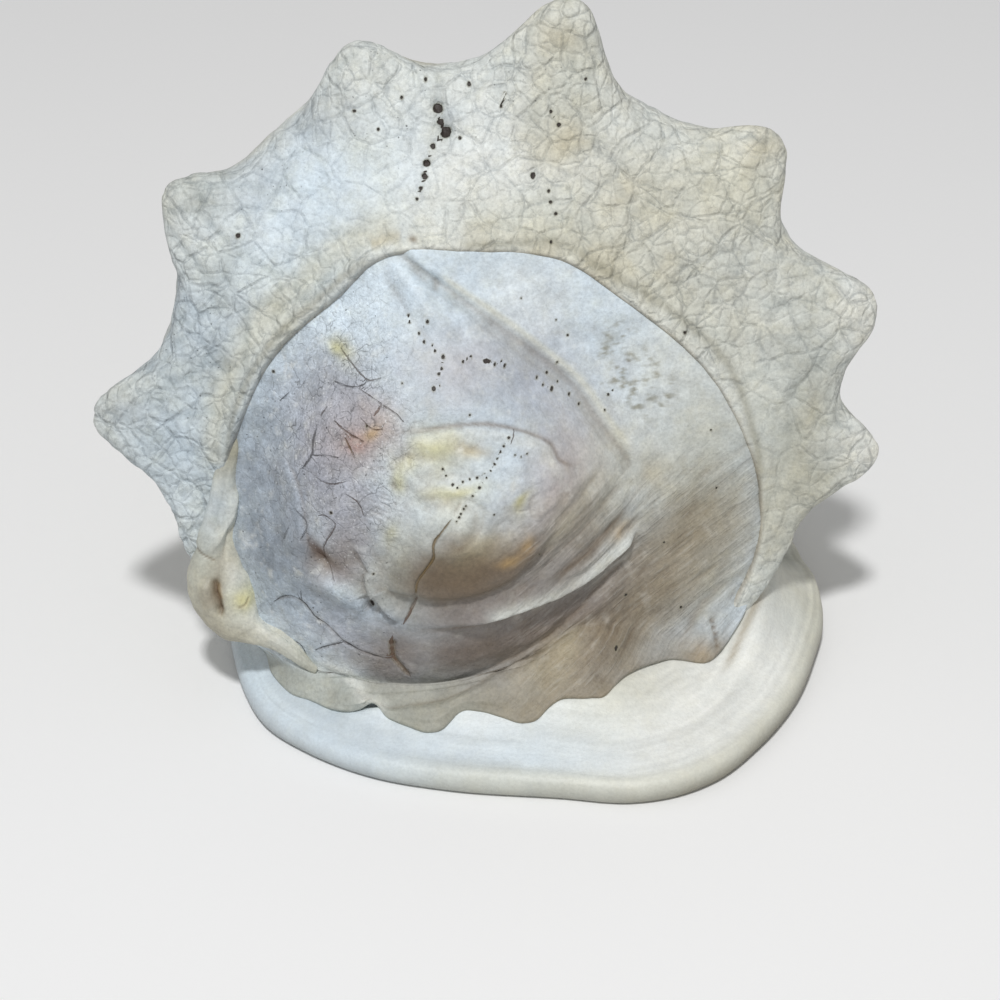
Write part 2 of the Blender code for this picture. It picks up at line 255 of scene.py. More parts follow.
def hashed(cell, seed):
    # a number from 0 to 1 for each cell, the same on every run
    spin = cell[..., 0] * 127.1 + cell[..., 1] * 311.7 + cell[..., 2] * 74.7 + seed * 53.3
    value = np.sin(spin) * 43758.5453
    return value - np.floor(value)


def grainNoise(points, size, seed=0):
    # smooth noise from -1 to 1
    p = points / size
    base = np.floor(p)
    t = p - base
    t = t * t * t * (t * (6 * t - 15) + 10)
    total = np.zeros(points.shape[:-1])
    for corner in np.ndindex(2, 2, 2):
        weight = np.prod([t[..., k] if corner[k] else 1 - t[..., k] for k in range(3)], axis=0)
        total += weight * hashed(base + np.array(corner), seed)
    return total * 2 - 1


def inPlane(first, second):
    # points to read noise at, from two measures
    return np.stack(np.broadcast_arrays(first, second, 0.0), axis=-1)


def layeredNoise(points, size, seed=0, layers=3):
    # noise of several sizes, each half the one before
    total = 0
    for k in range(layers):
        total = total + grainNoise(points + 17.3 * k, size / 2**k, seed + k) / 2**k
    return total / (2 - 0.5 ** (layers - 1))


def creaseNet(points, size, seed=0):
    # distance from the nearest border of a net of random cells, in mm
    p = points / size
    base = np.floor(p)
    first = np.full(points.shape[:-1], 9.0)
    second = np.full(points.shape[:-1], 9.0)
    for corner in np.ndindex(3, 3, 3):
        cell = base + np.array(corner) - 1
        seat = cell + np.stack([hashed(cell, seed + k) for k in range(3)], axis=-1)
        distance = np.linalg.norm(seat - p, axis=-1)
        second = np.minimum(second, np.maximum(first, distance))
        first = np.minimum(first, distance)
    return (second - first) * size / 2


def warped(points, size, amount, seed=0):
    # points moved about by noise
    shift = np.stack([grainNoise(points, size, seed + 5 * k) for k in range(3)], axis=-1)
    return points + shift * amount


def outwardNormals(rows):
    # unit normals of a surface given as rows of points
    along = np.gradient(rows, axis=0)
    around = np.roll(rows, -1, axis=1) - np.roll(rows, 1, axis=1)
    normal = np.cross(around, along)
    size = np.linalg.norm(normal, axis=-1, keepdims=True)
    return normal / np.maximum(size, 1e-9)


def stroke(place, feature):
    # height that one drawn line adds: a profile of (distance across, height), faded out at both ends
    across, along, length = acrossLine(place, feature["line"])
    profile = np.array(feature["profile"], float)
    height = np.interp(across, profile[:, 0], profile[:, 1])
    start, end = feature.get("fade", (6, 6))
    run = along * length
    gate = smoothStep(0, max(start, 0.01), run) * smoothStep(0, max(end, 0.01), length - run)
    return height * gate


def slanted(x, z, lean):
    # distance along a direction and across it; lean in degrees
    turn = math.radians(lean)
    return x * math.cos(turn) + z * math.sin(turn), z * math.cos(turn) - x * math.sin(turn)


def dent(place, x, z, radius, height, stretch=1.0, lean=0.0):
    # round or stretched rise (height above 0) or hollow
    along, aside = slanted(place[..., 0] - x, place[..., 1] - z, lean)
    return height * np.exp(-((along / (radius * stretch)) ** 2 + (aside / radius) ** 2))


def patchesOf(place, patches):
    return sum(dent(place, *patch) for patch in patches)


def ledgeHeight(x, y):
    # top of the shield at a place seen from above
    middleX, middleY = shieldShape["middle"]
    angle = np.degrees(np.arctan2(x - middleX, middleY - y))
    reach = np.hypot(x - middleX, y - middleY)
    inset = aroundCurve(shieldShape["rim"], angle) - reach
    foot = aroundCurve(shieldShape["foot"], angle, 1)
    top = aroundCurve(shieldShape["foot"], angle, 2)
    thick = shieldShape["thick"] + shieldShape["lipBead"] * lipSide(angle)
    return thick + (top - thick) * np.clip(inset / foot, 0, 1.4) ** shieldShape["hollowOfLedge"]


def underSheet(x, y):
    # where the spire's sheet hides the ledge
    return smoothStep(-86, -80.5, y) * smoothStep(-46, -28, x) * smoothStep(32, 20, x)


def lipSide(angle):
    # 1 on the outer lip's side of the rim, 0 on the other
    turn = np.radians(angle)
    return np.clip(np.sin(turn), 0, 1) ** 2 * (1 - np.clip(np.cos(turn), 0, 1) ** 2)


def newLattice(name, rows, firstPole, lastPole, painted=None):
    # a grid primitive laid over rows of points, with its seam and poles welded
    # painted: colours and other values kept with the points
    count, columns = rows.shape[:2]
    poles = [np.tile(np.array(pole, float), (1, columns, 1)) for pole in (firstPole, lastPole)]
    rows = np.concatenate([poles[0], rows, poles[1]])
    rows = np.concatenate([rows, rows[:, :1]], axis=1)
    bpy.ops.object.select_all(action="DESELECT")
    bpy.ops.mesh.primitive_grid_add(
        x_subdivisions=columns, y_subdivisions=count + 1, size=2.0, calc_uvs=False)
    piece = bpy.context.object
    piece.name = name
    piece.data.name = name
    flat = np.zeros(len(piece.data.vertices) * 3)
    piece.data.vertices.foreach_get("co", flat)
    flat = flat.reshape(-1, 3)
    column = np.rint((flat[:, 0] + 1) / 2 * columns).astype(int)
    row = np.rint((flat[:, 1] + 1) / 2 * (count + 1)).astype(int)
    piece.data.vertices.foreach_set("co", ((rows[row, column] + toBox) * mm).ravel())
    for label, values in (painted or {}).items():
        values = np.broadcast_to(values, (count, columns, values.shape[-1]))
        values = np.concatenate([values[:1], values, values[-1:]])[row, column % columns]
        kind, field = ("FLOAT_COLOR", "color") if values.shape[-1] == 4 else ("FLOAT_VECTOR", "vector")
        piece.data.attributes.new(label, kind, "POINT").data.foreach_set(field, values.ravel())
    piece.data.update()
    bpy.ops.object.mode_set(mode="EDIT")
    bpy.ops.mesh.select_all(action="SELECT")
    bpy.ops.mesh.remove_doubles(threshold=0.000002)
    bpy.ops.mesh.select_all(action="DESELECT")
    bpy.ops.object.mode_set(mode="OBJECT")
    return piece


def slip(rows, amount):
    # rows moved outwards by an amount at each point
    return rows + outwardNormals(rows) * amount[..., None]


# Colours of the weathered shell, and the brown and mauve of its painted shadow, 0 to 255 as seen on a screen
palette = {
    "ice": (226, 240, 250), "coolWhite": (216, 228, 236), "bone": (222, 226, 222),
    "warmWhite": (231, 233, 226),
    "cream": (219, 217, 198), "beige": (205, 203, 186), "sand": (198, 186, 152), "greyGreen": (174, 176, 164),
    "blueGrey": (186, 201, 213), "slate": (150, 160, 171), "lilac": (176, 178, 188), "mauve": (138, 126, 118),
    "pink": (188, 170, 165), "rose": (186, 138, 126), "tan": (168, 156, 132), "umber": (118, 98, 74),
    "darkBrown": (62, 44, 32), "olive": (146, 142, 122), "yellow": (212, 206, 150), "orange": (204, 170, 116),
    "rust": (98, 60, 34), "gold": (116, 94, 50), "ink": (50, 48, 50), "glaze": (230, 212, 182),
    "apricot": (216, 170, 122),
    "bright": (244, 245, 240), "sky": (214, 232, 246), "shadowBrown": (112, 96, 76), "shadowMauve": (128, 116, 110),
}


def tone(name):
    # a colour of the palette as light, 0 to 1
    screen = np.array(palette[name]) / 255
    return np.where(screen < 0.04045, screen / 12.92, ((screen + 0.055) / 1.055) ** 2.4)


def toned(colour, name, share):
    # colours moved towards a tone
    return colour + (tone(name) - colour) * share[..., None]


def coated(colour, rough):
    # colour and roughness together, as the painted tint
    return np.concatenate([np.clip(colour, 0, 1), rough[..., None]], axis=-1)


def blotted(colour, place, blots, weight=1.0):
    # soft stains and patches of painted shade laid one over another: x, z, radius, stretch, lean, strength,
    # tone
    for x, z, radius, stretch, lean, strength, name in blots:
        share = dent(place, x, z, radius, strength, stretch, lean) * weight
        colour = toned(colour, name, np.clip(share, 0, 1))
    return colour


def brushed(colour, place, marks, weight=1.0):
    # stains and painted shade along a line, with the brush moved to its right by so many mm
    for mark in marks:
        across, along, length = acrossLine(place, mark["line"])
        run = along * length
        start, end = mark.get("fade", (6, 6))
        gate = smoothStep(0, start, run) * smoothStep(0, end, length - run)
        share = np.exp(-(((across - mark.get("offset", 0)) / mark["width"]) ** 2))
        share = share * mark["strength"] * gate * weight
        colour = toned(colour, mark["tone"], np.clip(share, 0, 1))
    return colour


def wavered(place, points, amount=2.2, size=9):
    # places shaken a little, so that stains and painted shade have ragged borders
    shake = np.stack([layeredNoise(points, size, 81), layeredNoise(points, size, 86)], axis=-1)
    return place + shake * amount


def cracksOf(place, cracks, reach=1.7):
    # signed distance from the nearest crack, half its width there (0 away from it), and its tone
    found = np.zeros((*place.shape[:-1], 3))
    found[..., 0] = reach
    for points, halfWidth, tint in cracks:
        across, along, length = acrossLine(place, points)
        run = along * length
        taper = np.sqrt(np.clip(np.minimum(run, length - run) / 2.5, 0, 1))
        taper = taper * (np.abs(across) < 0.62 * reach)
        close = np.abs(across) < np.minimum(np.abs(found[..., 0]), reach)
        values = np.stack([across, halfWidth * taper, np.full_like(across, tint)], axis=-1)
        found = np.where(close[..., None], values, found)
    return found


def pitsOf(place, pits, share=1.0, apart=0.6):
    # the way to the middle of the nearest bored hole, and its radius (0 away from it)
    found = np.zeros((*place.shape[:-1], 3))
    nearest = np.full(place.shape[:-1], 50.0)
    second = nearest.copy()
    for x, z, radius in pits:
        dx, dz = place[..., 0] - x, place[..., 1] - z
        gap = np.hypot(dx, dz) - radius * share
        values = np.stack([dx, dz, radius * share * (gap < 1.1)], axis=-1)
        found = np.where((gap < nearest)[..., None], values, found)
        second = np.minimum(second, np.maximum(gap, nearest))
        nearest = np.minimum(gap, nearest)
    found[..., 2] *= (second - nearest > apart) | (nearest < -0.2)
    return found


def hollowShadeDepth(lift, cells=9):
    # how far each point lies below its neighbourhood, for painted shade in hollows
    smooth = relaxed(lift[..., None], cells)[..., 0]
    return np.clip(smooth - lift, 0, None)


# The spire, and below it the thin sheet of shell that spreads over the ledge
spire = {
    "columns": 540,
    "steps": [7, 36, 50, 34, 22],
    "tuck": (3.0, 2.6),
    "sheetFrom": (112.0, 121.0),
    "sheetTo": (221.0, 230.0),
    "sheetLift": 1.0,
    # the sheet's wavy edge on the ledge: clock angle, x, y
    "sheetEdge": [
        (118, 70.5, -52), (121, 68.5, -56), (124, 65, -60.5), (127, 61.5, -64.5), (129, 58, -67.5),
        (132, 49, -69), (134.5, 43, -72.5), (137.5, 36.5, -78), (140, 33, -82), (142, 30.5, -85),
        (146, 26, -86), (153, 18, -86), (156, 15.5, -87.5), (160, 11.5, -91), (162, 9, -91.5),
        (168, 2.5, -89.8), (174, -3, -88.3), (179.5, -8.5, -88.5), (183, -12.5, -92.3), (186.5, -16, -93),
        (192, -21, -91.2), (197, -27, -88.2), (201.5, -31.5, -84), (203.5, -34.5, -85), (208, -41, -83.6),
        (213, -48, -79), (217, -54, -74.5), (220, -58.5, -67), (224, -61, -58),
    ],
    "inside": (-9.0, -30.0, 60.0),
    # how the rim folds under, row by row: where it is tucked away, where it lies on the ledge
    "rimFolds": [((0, 0.1, 0), (0, -0.25, -0.45)), ((0, 2.0, 0), (0, 0.6, -1.5)), ((0, 5.0, 0),
                                                                                   (0, 5.0, -3.5))],
    # the knobbly ring round the nub: x, z, radius, share, stretch, lean
    "knobbly": [
        (-23, 82, 9, 1.0, 1.7, 60), (-5, 88, 6, 0.8, 1.8, -10), (-26, 60, 6, 0.8, 1.7, 85),
        (10, 70, 7, 0.7, 1.6, 60),
    ],
}

# Lines on the front that are both raised and stained, in (x, z)
crestLine = [(-23, 128), (-14, 121.5), (-5, 115), (8, 105.5), (22, 93.5), (31, 81), (36.8, 72.5), (39.5, 62)]
sutureLine = [
    (-21, 89.8), (-12, 91.4), (-5, 91.8), (0, 91.5), (5.6, 90), (11, 87.4), (15.8, 83.6), (18, 79.4),
    (22.5, 75.4),
]
nubEdge = [
    (-28, 48.5), (-24, 48.4), (-19, 48), (-14, 47.6), (-9, 47.8), (-2, 49), (4.5, 51.5), (9, 55), (14, 59.5),
    (20, 64),
]
keelLine = [(39, 53), (36, 49), (31.5, 46), (24, 42.5), (15.3, 41), (6.5, 40.2), (-3, 38.8), (-13, 38),
            (-23, 37)]
olderEdge = [(-54, 77), (-52.5, 75.5), (-49.5, 69.5), (-47.8, 59), (-46.3, 50.5)]
sheetFold = [(66, 33), (60, 29), (56, 25), (53, 20)]
sheetNick = [(59, 24.5), (60.5, 20), (61.5, 15)]

# Relief: a line and its profile, (distance to the right of the line, height), faded out near its ends
spireStrokes = [
    # crest and gutter between the crescent and the older whorl
    {"line": crestLine,
     "profile": [(-12, 0), (-6, 0.4), (-2, 1.0), (-0.7, 1.4), (0.2, 1.0), (0.9, -0.1), (1.6, -0.55),
                 (2.8, -0.45), (3.8, 0.1), (5.2, 0.35), (9, 0)], "fade": (4, 14)},
    # the fold that starts the crest at the top
    {"line": [(-20, 128), (-15, 121.5), (-10, 116.5), (-3, 111)],
     "profile": [(0, 0), (2.5, 0.2), (4.5, 1.3), (6, 1.5), (7.5, 0.6), (9.5, -0.4), (13, 0)], "fade": (5, 8)},
    # first suture, over the top of the nub
    {"line": sutureLine,
     "profile": [(-7, 0), (-3, 0.2), (-1.1, -0.2), (-0.2, -0.75), (0.5, -0.2), (1.6, 0.6), (4, 0.45), (9, 0)],
     "fade": (6, 7)},
    # the nub's lower edge
    {"line": nubEdge,
     "profile": [(-12, 0), (-6, 0.8), (-2.2, 1.5), (-0.8, 1.2), (0.2, -0.2), (1.6, -0.7), (5, -0.6), (11, 0)],
     "fade": (5, 12)},
    # the keel that catches the light below
    {"line": keelLine,
     "profile": [(-13, 0), (-8, -0.3), (-4, -1.1), (-1.5, -1.5), (-0.5, -0.6), (0.3, 1.3), (1.3, 2.4),
                 (3.2, 1.9), (7, 0.8), (12, 0)], "fade": (5, 26)},
    {"line": [(40, 58), (36, 55), (30, 51), (23, 47.5), (15, 46)],
     "profile": [(-3, 0), (-1, -0.6), (0, -0.5), (1.2, 0.6), (3, 0)], "fade": (5, 8)},
    # the older layer's edge on the left
    {"line": olderEdge,
     "profile": [(-6, 0), (-2.5, -0.6), (-0.4, -0.8), (0.6, 0.6), (2.5, 0.7), (8, 0)], "fade": (6, 5)},
    # crease above the sheet
    {"line": [(38, 45), (34, 42), (27.6, 36.8), (23.6, 33), (18.4, 29), (9.4, 24.2), (-2.7, 19), (-12, 16.2),
              (-21, 15), (-27, 14), (-33, 14.8), (-39, 18)],
     "profile": [(-7, 0), (-2.5, 0.9), (-0.6, 0.6), (0.2, -0.6), (2, -0.3), (6, 0)], "fade": (10, 6)},
    # a soft fold where the ear's tail runs out on the sheet
    {"line": [(-48, 21), (-43, 19.6), (-38, 18), (-34, 15.6), (-31, 14.3), (-25, 14.4)],
     "profile": [(-5, 0), (-2, 0.3), (0, 0.7), (2, 0.3), (5, 0)], "fade": (5, 6)},
    # folds of the sheet on the right
    {"line": sheetFold,
     "profile": [(-5, 0), (-2, 0.7), (-0.4, 0), (0.6, -0.9), (2.5, -0.2), (6, 0)], "fade": (6, 5)},
    {"line": sheetNick,
     "profile": [(-4, 0), (-1, 0.5), (0, -1.1), (1, 0.4), (4, 0)], "fade": (2, 3)},
    # cracks on the lower left
    {"line": [(-57, 35.5), (-53, 38.5), (-49, 38), (-45.5, 34.5), (-42, 32.5), (-38, 29), (-32, 26),
              (-27.5, 25)],
     "profile": [(-1.6, 0), (-0.7, 0.15), (0, -0.4), (0.7, 0.2), (2, 0)], "fade": (3, 2)},
    {"line": [(-46, 23.5), (-42.5, 26), (-38, 28.8)],
     "profile": [(-1.6, 0), (-0.7, 0.15), (0, -0.4), (0.7, 0.15), (2, 0)], "fade": (1, 1)},
    {"line": [(-25, 33), (-25.3, 29), (-25, 25.5), (-21, 19)],
     "profile": [(-2, 0), (-1.0, 0.15), (-0.3, -0.8), (0.3, -0.8), (1.0, 0.15), (2, 0)], "fade": (2, 2)},
    {"line": [(-6.8, 75.7), (-9.5, 71.5), (-13.9, 64.7), (-14.4, 60), (-18, 53.5), (-18.7, 49.5),
              (-22, 38.5)],
     "profile": [(-2, 0), (-0.8, 0.12), (0, -0.45), (0.8, 0.12), (2, 0)], "fade": (2, 2)},
    # the rough little ridge and the broken corner at the nub's lower left
    {"line": [(-34.5, 61), (-31.9, 56.7), (-30.2, 53.5), (-31.3, 50.8), (-30.3, 46.5)],
     "profile": [(-2.6, 0), (-1.2, 0.5), (-0.2, 1.3), (0.7, 0.7), (1.2, -0.4), (3, -0.2), (5, 0)],
     "fade": (5, 0.4)},
    {"line": [(-30.6, 46.9), (-28.6, 43.5), (-26.2, 40.6), (-23, 38.4)],
     "profile": [(-5, 0), (-1.8, 1.0), (-0.4, 1.1), (0.5, -1.0), (2, -1.3), (5, 0)], "fade": (0.4, 3)},
    # swirl of the apex
    {"line": [(-20, 74), (-16, 76), (-10, 76.5), (-4, 75.5), (-1, 72), (-2.5, 66), (-8, 62.5), (-15, 65),
              (-19, 71)],
     "profile": [(-5, 0), (-2, 0.6), (-0.5, 0.7), (0.6, -0.2), (2.5, -0.5), (6, 0)], "fade": (4, 8)},
    {"line": [(-29, 81), (-26, 86), (-19, 88.5), (-11, 87.5), (-3, 84), (2, 79)],
     "profile": [(-5, 0), (-2, -0.3), (-0.3, 0.6), (0.8, 0.5), (3, -0.4), (6, 0)], "fade": (5, 7)},
    # streaks on the right of the older whorl
    {"line": [(36, 67), (30, 62), (24, 57), (17, 53)],
     "profile": [(-4, 0), (-1.5, 0.8), (0, 0.2), (1.5, -0.7), (4, 0)], "fade": (5, 7)},
    {"line": [(30, 72), (24, 67), (18, 62), (12, 56)],
     "profile": [(-4, 0), (-1.5, 0.5), (0, 0.1), (1.5, -0.5), (4, 0)], "fade": (5, 7)},
]

# Round rises (height above 0) and hollows: x, z, radius, height, stretch, lean of the long side in degrees
spireDents = [
    (-43.5, 51.5, 2.6, -2.6, 1.4, -60), (-40.5, 46.5, 3.4, 1.4, 1.8, -25), (-36, 43, 2.4, 1.0, 1.5, 0),
    (-30, 46.6, 1.5, 0.9, 1.2, 0), (-31.8, 42.2, 0.85, -1.8, 1.7, 78), (-28.4, 39.7, 1.0, 0.9, 1.4, 70),
    (-33.2, 41.5, 0.8, 0.5, 2.4, 80), (-26.6, 38.4, 1.1, 0.7, 1.3, 0), (-24.3, 77.6, 0.8, -0.9, 1.6, 80),
    (-15.7, 87, 2.0, 0.8, 1.5, 10), (-15, 83.2, 1.8, 0.7, 1.4, 0), (-20.8, 80.7, 1.8, 0.8, 1.3, 60),
    (-22.8, 79.5, 1.4, 0.6, 1.2, 0), (-6.5, 86.6, 1.2, -0.8, 2.4, -12), (-12, 68, 5.5, 1.5, 1.3, 0),
    (-20, 57, 5, 0.9, 1.4, 10), (2, 66, 4, -0.8, 1.5, 45),
    (-11.5, 115.5, 2.2, 1.3, 1.8, -35), (-6, 112, 1.6, 1.0, 1.6, -20), (-2, 110.5, 1.4, 0.8, 1.6, -30),
    (-13.5, 119, 1.2, -0.8, 1.5, 80), (-18, 116, 3.0, 0.9, 1.5, 60),
    (-17, 82, 3.2, 1.1, 1.4, -20), (-21, 88, 2.4, 0.9, 1.3, 0), (-10, 80, 2.6, -0.9, 1.5, 10),
    (2.5, 58, 4.0, 0.9, 1.6, 30), (13, 66, 3.4, 1.0, 1.8, 55), (18, 56.5, 3.0, -0.8, 1.8, 35),
    (9, 71, 3.0, -0.7, 1.6, 60), (-22.5, 66, 3.4, 0.7, 1.4, 80), (28, 51, 3.0, 0.8, 1.8, 30),
    (34, 59, 3.4, 0.9, 1.6, 50), (-34, 66, 4.5, -0.7, 1.5, 85), (-56, 60, 6, -0.8, 1.6, 80),
    (44, 84, 6, -0.8, 2.0, -60), (30, 103, 7, -0.7, 2.0, -45), (48, 62, 5, 0.7, 1.6, -70),
]

# Stains, and patches of painted shade under the keel and the nub, seen from the front: x, z, radius, stretch,
# lean, strength, tone
spireBlots = [
    # the crescent
    (2, 116, 13, 1.3, -35, 0.95, "sky"), (10, 112, 12, 1.6, -35, 0.6, "bright"),
    (32, 104, 13, 1.4, -45, 0.7, "ice"), (48, 92, 12, 1.5, -60, 0.6, "warmWhite"),
    (58, 74, 12, 1.4, -75, 0.6, "beige"), (36, 74, 9, 1.5, -60, 0.7, "warmWhite"),
    (48, 62, 10, 1.2, -60, 0.6, "beige"), (42, 67, 4, 1.2, 0, 0.5, "sand"),
    (62, 52, 12, 1.3, -80, 0.7, "greyGreen"), (50, 47, 13, 1.6, 25, 0.85, "tan"),
    (42, 32, 12, 1.8, 20, 0.85, "tan"), (26, 24, 12, 1.8, 10, 0.8, "tan"), (60, 34, 7, 1.2, 30, 0.5, "beige"),
    # below the keel: mauve, partly the shell's own tint and partly painted shadow of the keel, with darker
    # painted shadow in mauve-grey and brown
    (10, 32, 12, 2.0, 5, 0.75, "mauve"), (26, 36, 8, 1.8, 25, 0.45, "shadowMauve"),
    (-8, 28, 10, 1.8, 0, 0.85, "mauve"), (34, 43, 5, 1.8, 35, 0.3, "mauve"),
    (0, 27, 8, 2.0, 3, 0.5, "shadowBrown"),
    # the older whorls
    (-45, 100, 15, 1.3, 50, 0.85, "ice"), (-28, 113, 10, 1.3, 40, 0.7, "ice"),
    (-14, 108, 10, 1.4, -30, 0.6, "coolWhite"), (-61, 72, 11, 1.8, 88, 0.8, "slate"),
    (-57, 52, 12, 1.6, 80, 0.9, "slate"), (-54, 88, 9, 1.4, 60, 0.6, "blueGrey"),
    (-48, 46, 8, 1.4, 60, 0.6, "slate"), (-43, 80, 12, 1.4, 85, 0.9, "lilac"),
    (-38, 66, 10, 1.5, 80, 0.85, "lilac"), (-37, 95, 8, 1.5, 10, 0.7, "lilac"),
    (-33, 87, 6.5, 1.4, 15, 0.8, "pink"), (-34, 87, 2.4, 1.4, 20, 0.5, "rose"),
    (-28, 92, 5, 1.6, -20, 0.55, "pink"), (-38, 56, 7, 1.4, 80, 0.7, "mauve"),
    (-44, 62, 3, 2.0, 80, 0.4, "ice"), (-2, 98, 13, 1.5, -12, 0.6, "blueGrey"),
    (12, 96, 9, 1.4, -30, 0.7, "lilac"), (-8, 103, 8, 1.6, 0, 0.4, "pink"),
    (24, 84, 9, 1.4, -50, 0.5, "coolWhite"), (29, 72, 7, 1.5, -60, 0.7, "warmWhite"),
    (30, 63, 6, 1.5, 60, 0.6, "greyGreen"), (16, 74, 10, 1.5, 60, 0.75, "pink"),
    (20, 62, 9, 1.6, 50, 0.7, "tan"), (24, 53, 7, 1.8, 35, 0.6, "umber"), (30, 49, 5, 1.8, 40, 0.85, "bone"),
    (19, 43.5, 4, 2.4, 18, 0.6, "warmWhite"),
    # the nub: white on top; brown below, painted shade under the nub, partly the shell's own stain
    (-12, 84, 7, 1.6, 0, 0.7, "warmWhite"), (0, 84, 7, 1.4, 0, 0.7, "coolWhite"),
    (-10, 72, 7, 1.3, 0, 0.6, "cream"), (-22, 78, 6, 1.4, 80, 0.5, "coolWhite"),
    (-24, 68, 6, 1.4, 80, 0.5, "bone"), (8, 71, 6, 1.5, 60, 0.5, "coolWhite"),
    (-18, 63, 5, 1.4, 10, 0.4, "cream"), (-3, 57, 7, 1.7, 15, 0.85, "umber"),
    (7, 60, 6, 1.6, 40, 0.75, "umber"), (-9, 58.5, 6, 1.6, 0, 0.95, "shadowBrown"),
    (-20, 53, 4, 1.6, 0, 0.5, "olive"), (-14, 54, 6.5, 1.9, 0, 0.9, "shadowBrown"),
    (-4, 63, 5, 1.6, 20, 0.6, "sand"), (-10, 44, 9, 2.0, -3, 0.8, "mauve"),
    (8, 45, 9, 1.8, 15, 0.75, "mauve"), (-24, 46, 6, 1.4, 0, 0.5, "greyGreen"),
    (-24, 58, 5, 1.6, 80, 0.6, "greyGreen"), (-29, 52, 3, 1.6, 60, 0.7, "bone"),
    (-10, 54, 7, 2.2, 2, 0.7, "shadowBrown"), (4, 56, 6, 1.8, 15, 0.5, "shadowBrown"),
    # olive and brown on the sheet below the keel: painted shade
    (-12, 12, 8, 2.4, 0, 0.6, "olive"), (44, 32, 16, 1.6, 25, 0.3, "shadowBrown"),
    (22, 23, 9, 2.2, 10, 0.35, "shadowBrown"),
    # lower left: brown hollow, pearly patches
    (-43, 51.5, 4, 1.6, -60, 0.95, "umber"), (-45.5, 55, 2.2, 1.6, -60, 0.6, "rust"),
    (-40.5, 49, 4, 1.3, 0, 0.5, "pink"), (-39, 45.8, 3.4, 1.8, -22, 0.85, "ice"),
    (-34.5, 42, 3, 1.5, -40, 0.6, "blueGrey"), (-26, 38.5, 3.6, 1.3, 0, 0.75, "blueGrey"),
    (-41, 38, 8, 1.5, -20, 0.7, "slate"), (-38, 30, 8, 1.8, -15, 0.7, "lilac"),
    (-50, 36, 6, 1.4, -30, 0.5, "blueGrey"), (-25, 28, 7, 1.4, 80, 0.8, "mauve"),
    (-30, 22, 6, 1.6, -10, 0.6, "mauve"),
    # small stains
    (-37.9, 103.7, 2.2, 1.4, 0, 0.8, "yellow"), (-14, 87.5, 3.4, 1.6, -30, 0.75, "yellow"),
    (-10.5, 88.6, 2.0, 1.6, 0, 0.5, "yellow"), (-20, 83.5, 2.2, 1.5, 40, 0.5, "yellow"),
    (-22.5, 79, 1.8, 1.6, 70, 0.6, "yellow"), (-5.5, 86.4, 2.0, 2.2, -10, 0.75, "sand"),
    (-9, 76.6, 1.6, 4.0, 2, 0.65, "yellow"), (8.6, 72, 1.6, 1.6, 60, 0.8, "yellow"),
    (8.3, 62.6, 1.5, 1.6, 50, 0.55, "orange"), (4.3, 58.3, 1.7, 1.4, 20, 0.55, "orange"),
    (33, 53.5, 2.4, 1.3, 20, 0.55, "orange"), (55.4, 16, 3.0, 1.3, 0, 0.6, "orange"),
    (19.7, 25.8, 3.6, 1.6, 10, 0.5, "sand"), (14, 20, 4, 2.0, 8, 0.5, "sand"),
    (-30.5, 90, 1.6, 1.5, 40, 0.7, "orange"), (-26, 66, 2.0, 1.6, 70, 0.4, "yellow"),
    (-9, 113, 3, 1.8, -30, 0.5, "ice"), (31, 101, 2.2, 1.3, 60, 0.5, "greyGreen"),
]

# Stains and painted shade along lines; offset is how far to the right of the line they lie
spireMarks = [
    # painted shade of the crest in its gutter: olive, and umber close to it
    {"line": [(-20, 127), *crestLine[1:]],
     "offset": 2.1, "width": 1.5, "strength": 0.25, "tone": "olive", "fade": (4, 16)},
    {"line": [(-20, 127), *crestLine[1:-1], (38, 66)],
     "offset": 1.1, "width": 0.45, "strength": 0.2, "tone": "umber", "fade": (4, 10)},
    {"line": crestLine[1:-1],
     "offset": -0.4, "width": 0.9, "strength": 0.6, "tone": "cream"},
    # painted shadow under the keel's edge
    {"line": keelLine,
     "offset": -1.2, "width": 1.0, "strength": 0.35, "tone": "umber", "fade": (6, 18)},
    # the keel's top kept pale: painted highlight
    {"line": keelLine[:7],
     "offset": 2.0, "width": 2.2, "strength": 0.85, "tone": "warmWhite"},
    # painted shadow of the keel on the wall below
    {"line": [(30, 44), (25, 37), (19, 31), (12, 26.5), (4, 24), (-6, 23), (-16, 23)],
     "offset": 4.5, "width": 6.0, "strength": 0.4, "tone": "shadowMauve"},
    {"line": sheetFold, "width": 0.8, "strength": 0.45, "tone": "olive"},
    {"line": sheetNick, "width": 0.5, "strength": 0.5, "tone": "umber", "fade": (1, 2)},
    # painted shade under the nub's lower edge
    {"line": nubEdge[2:8],
     "offset": -1.2, "width": 1.8, "strength": 0.6, "tone": "shadowBrown"},
    {"line": sutureLine,
     "offset": 2.0, "width": 1.8, "strength": 0.4, "tone": "warmWhite"},
    {"line": [(-18, 90.6), *sutureLine[1:]],
     "offset": -0.1, "width": 0.42, "strength": 0.5, "tone": "mauve", "fade": (5, 4)},
    {"line": olderEdge,
     "offset": 1.0, "width": 1.6, "strength": 0.5, "tone": "slate"},
    {"line": [(29, 75), (25, 69), (20, 64), (12, 58)], "width": 1.6, "strength": 0.35, "tone": "olive"},
    {"line": [(-48, 20.4), (-43, 19.2), (-38, 18), (-34, 15.6), (-31, 14.3), (-25, 14.4)], "width": 1.5,
     "strength": 0.7,
     "tone": "warmWhite"},
    {"line": [(36, 62), (31, 57), (24, 52), (14, 48)], "width": 1.3, "strength": 0.6, "tone": "umber"},
]

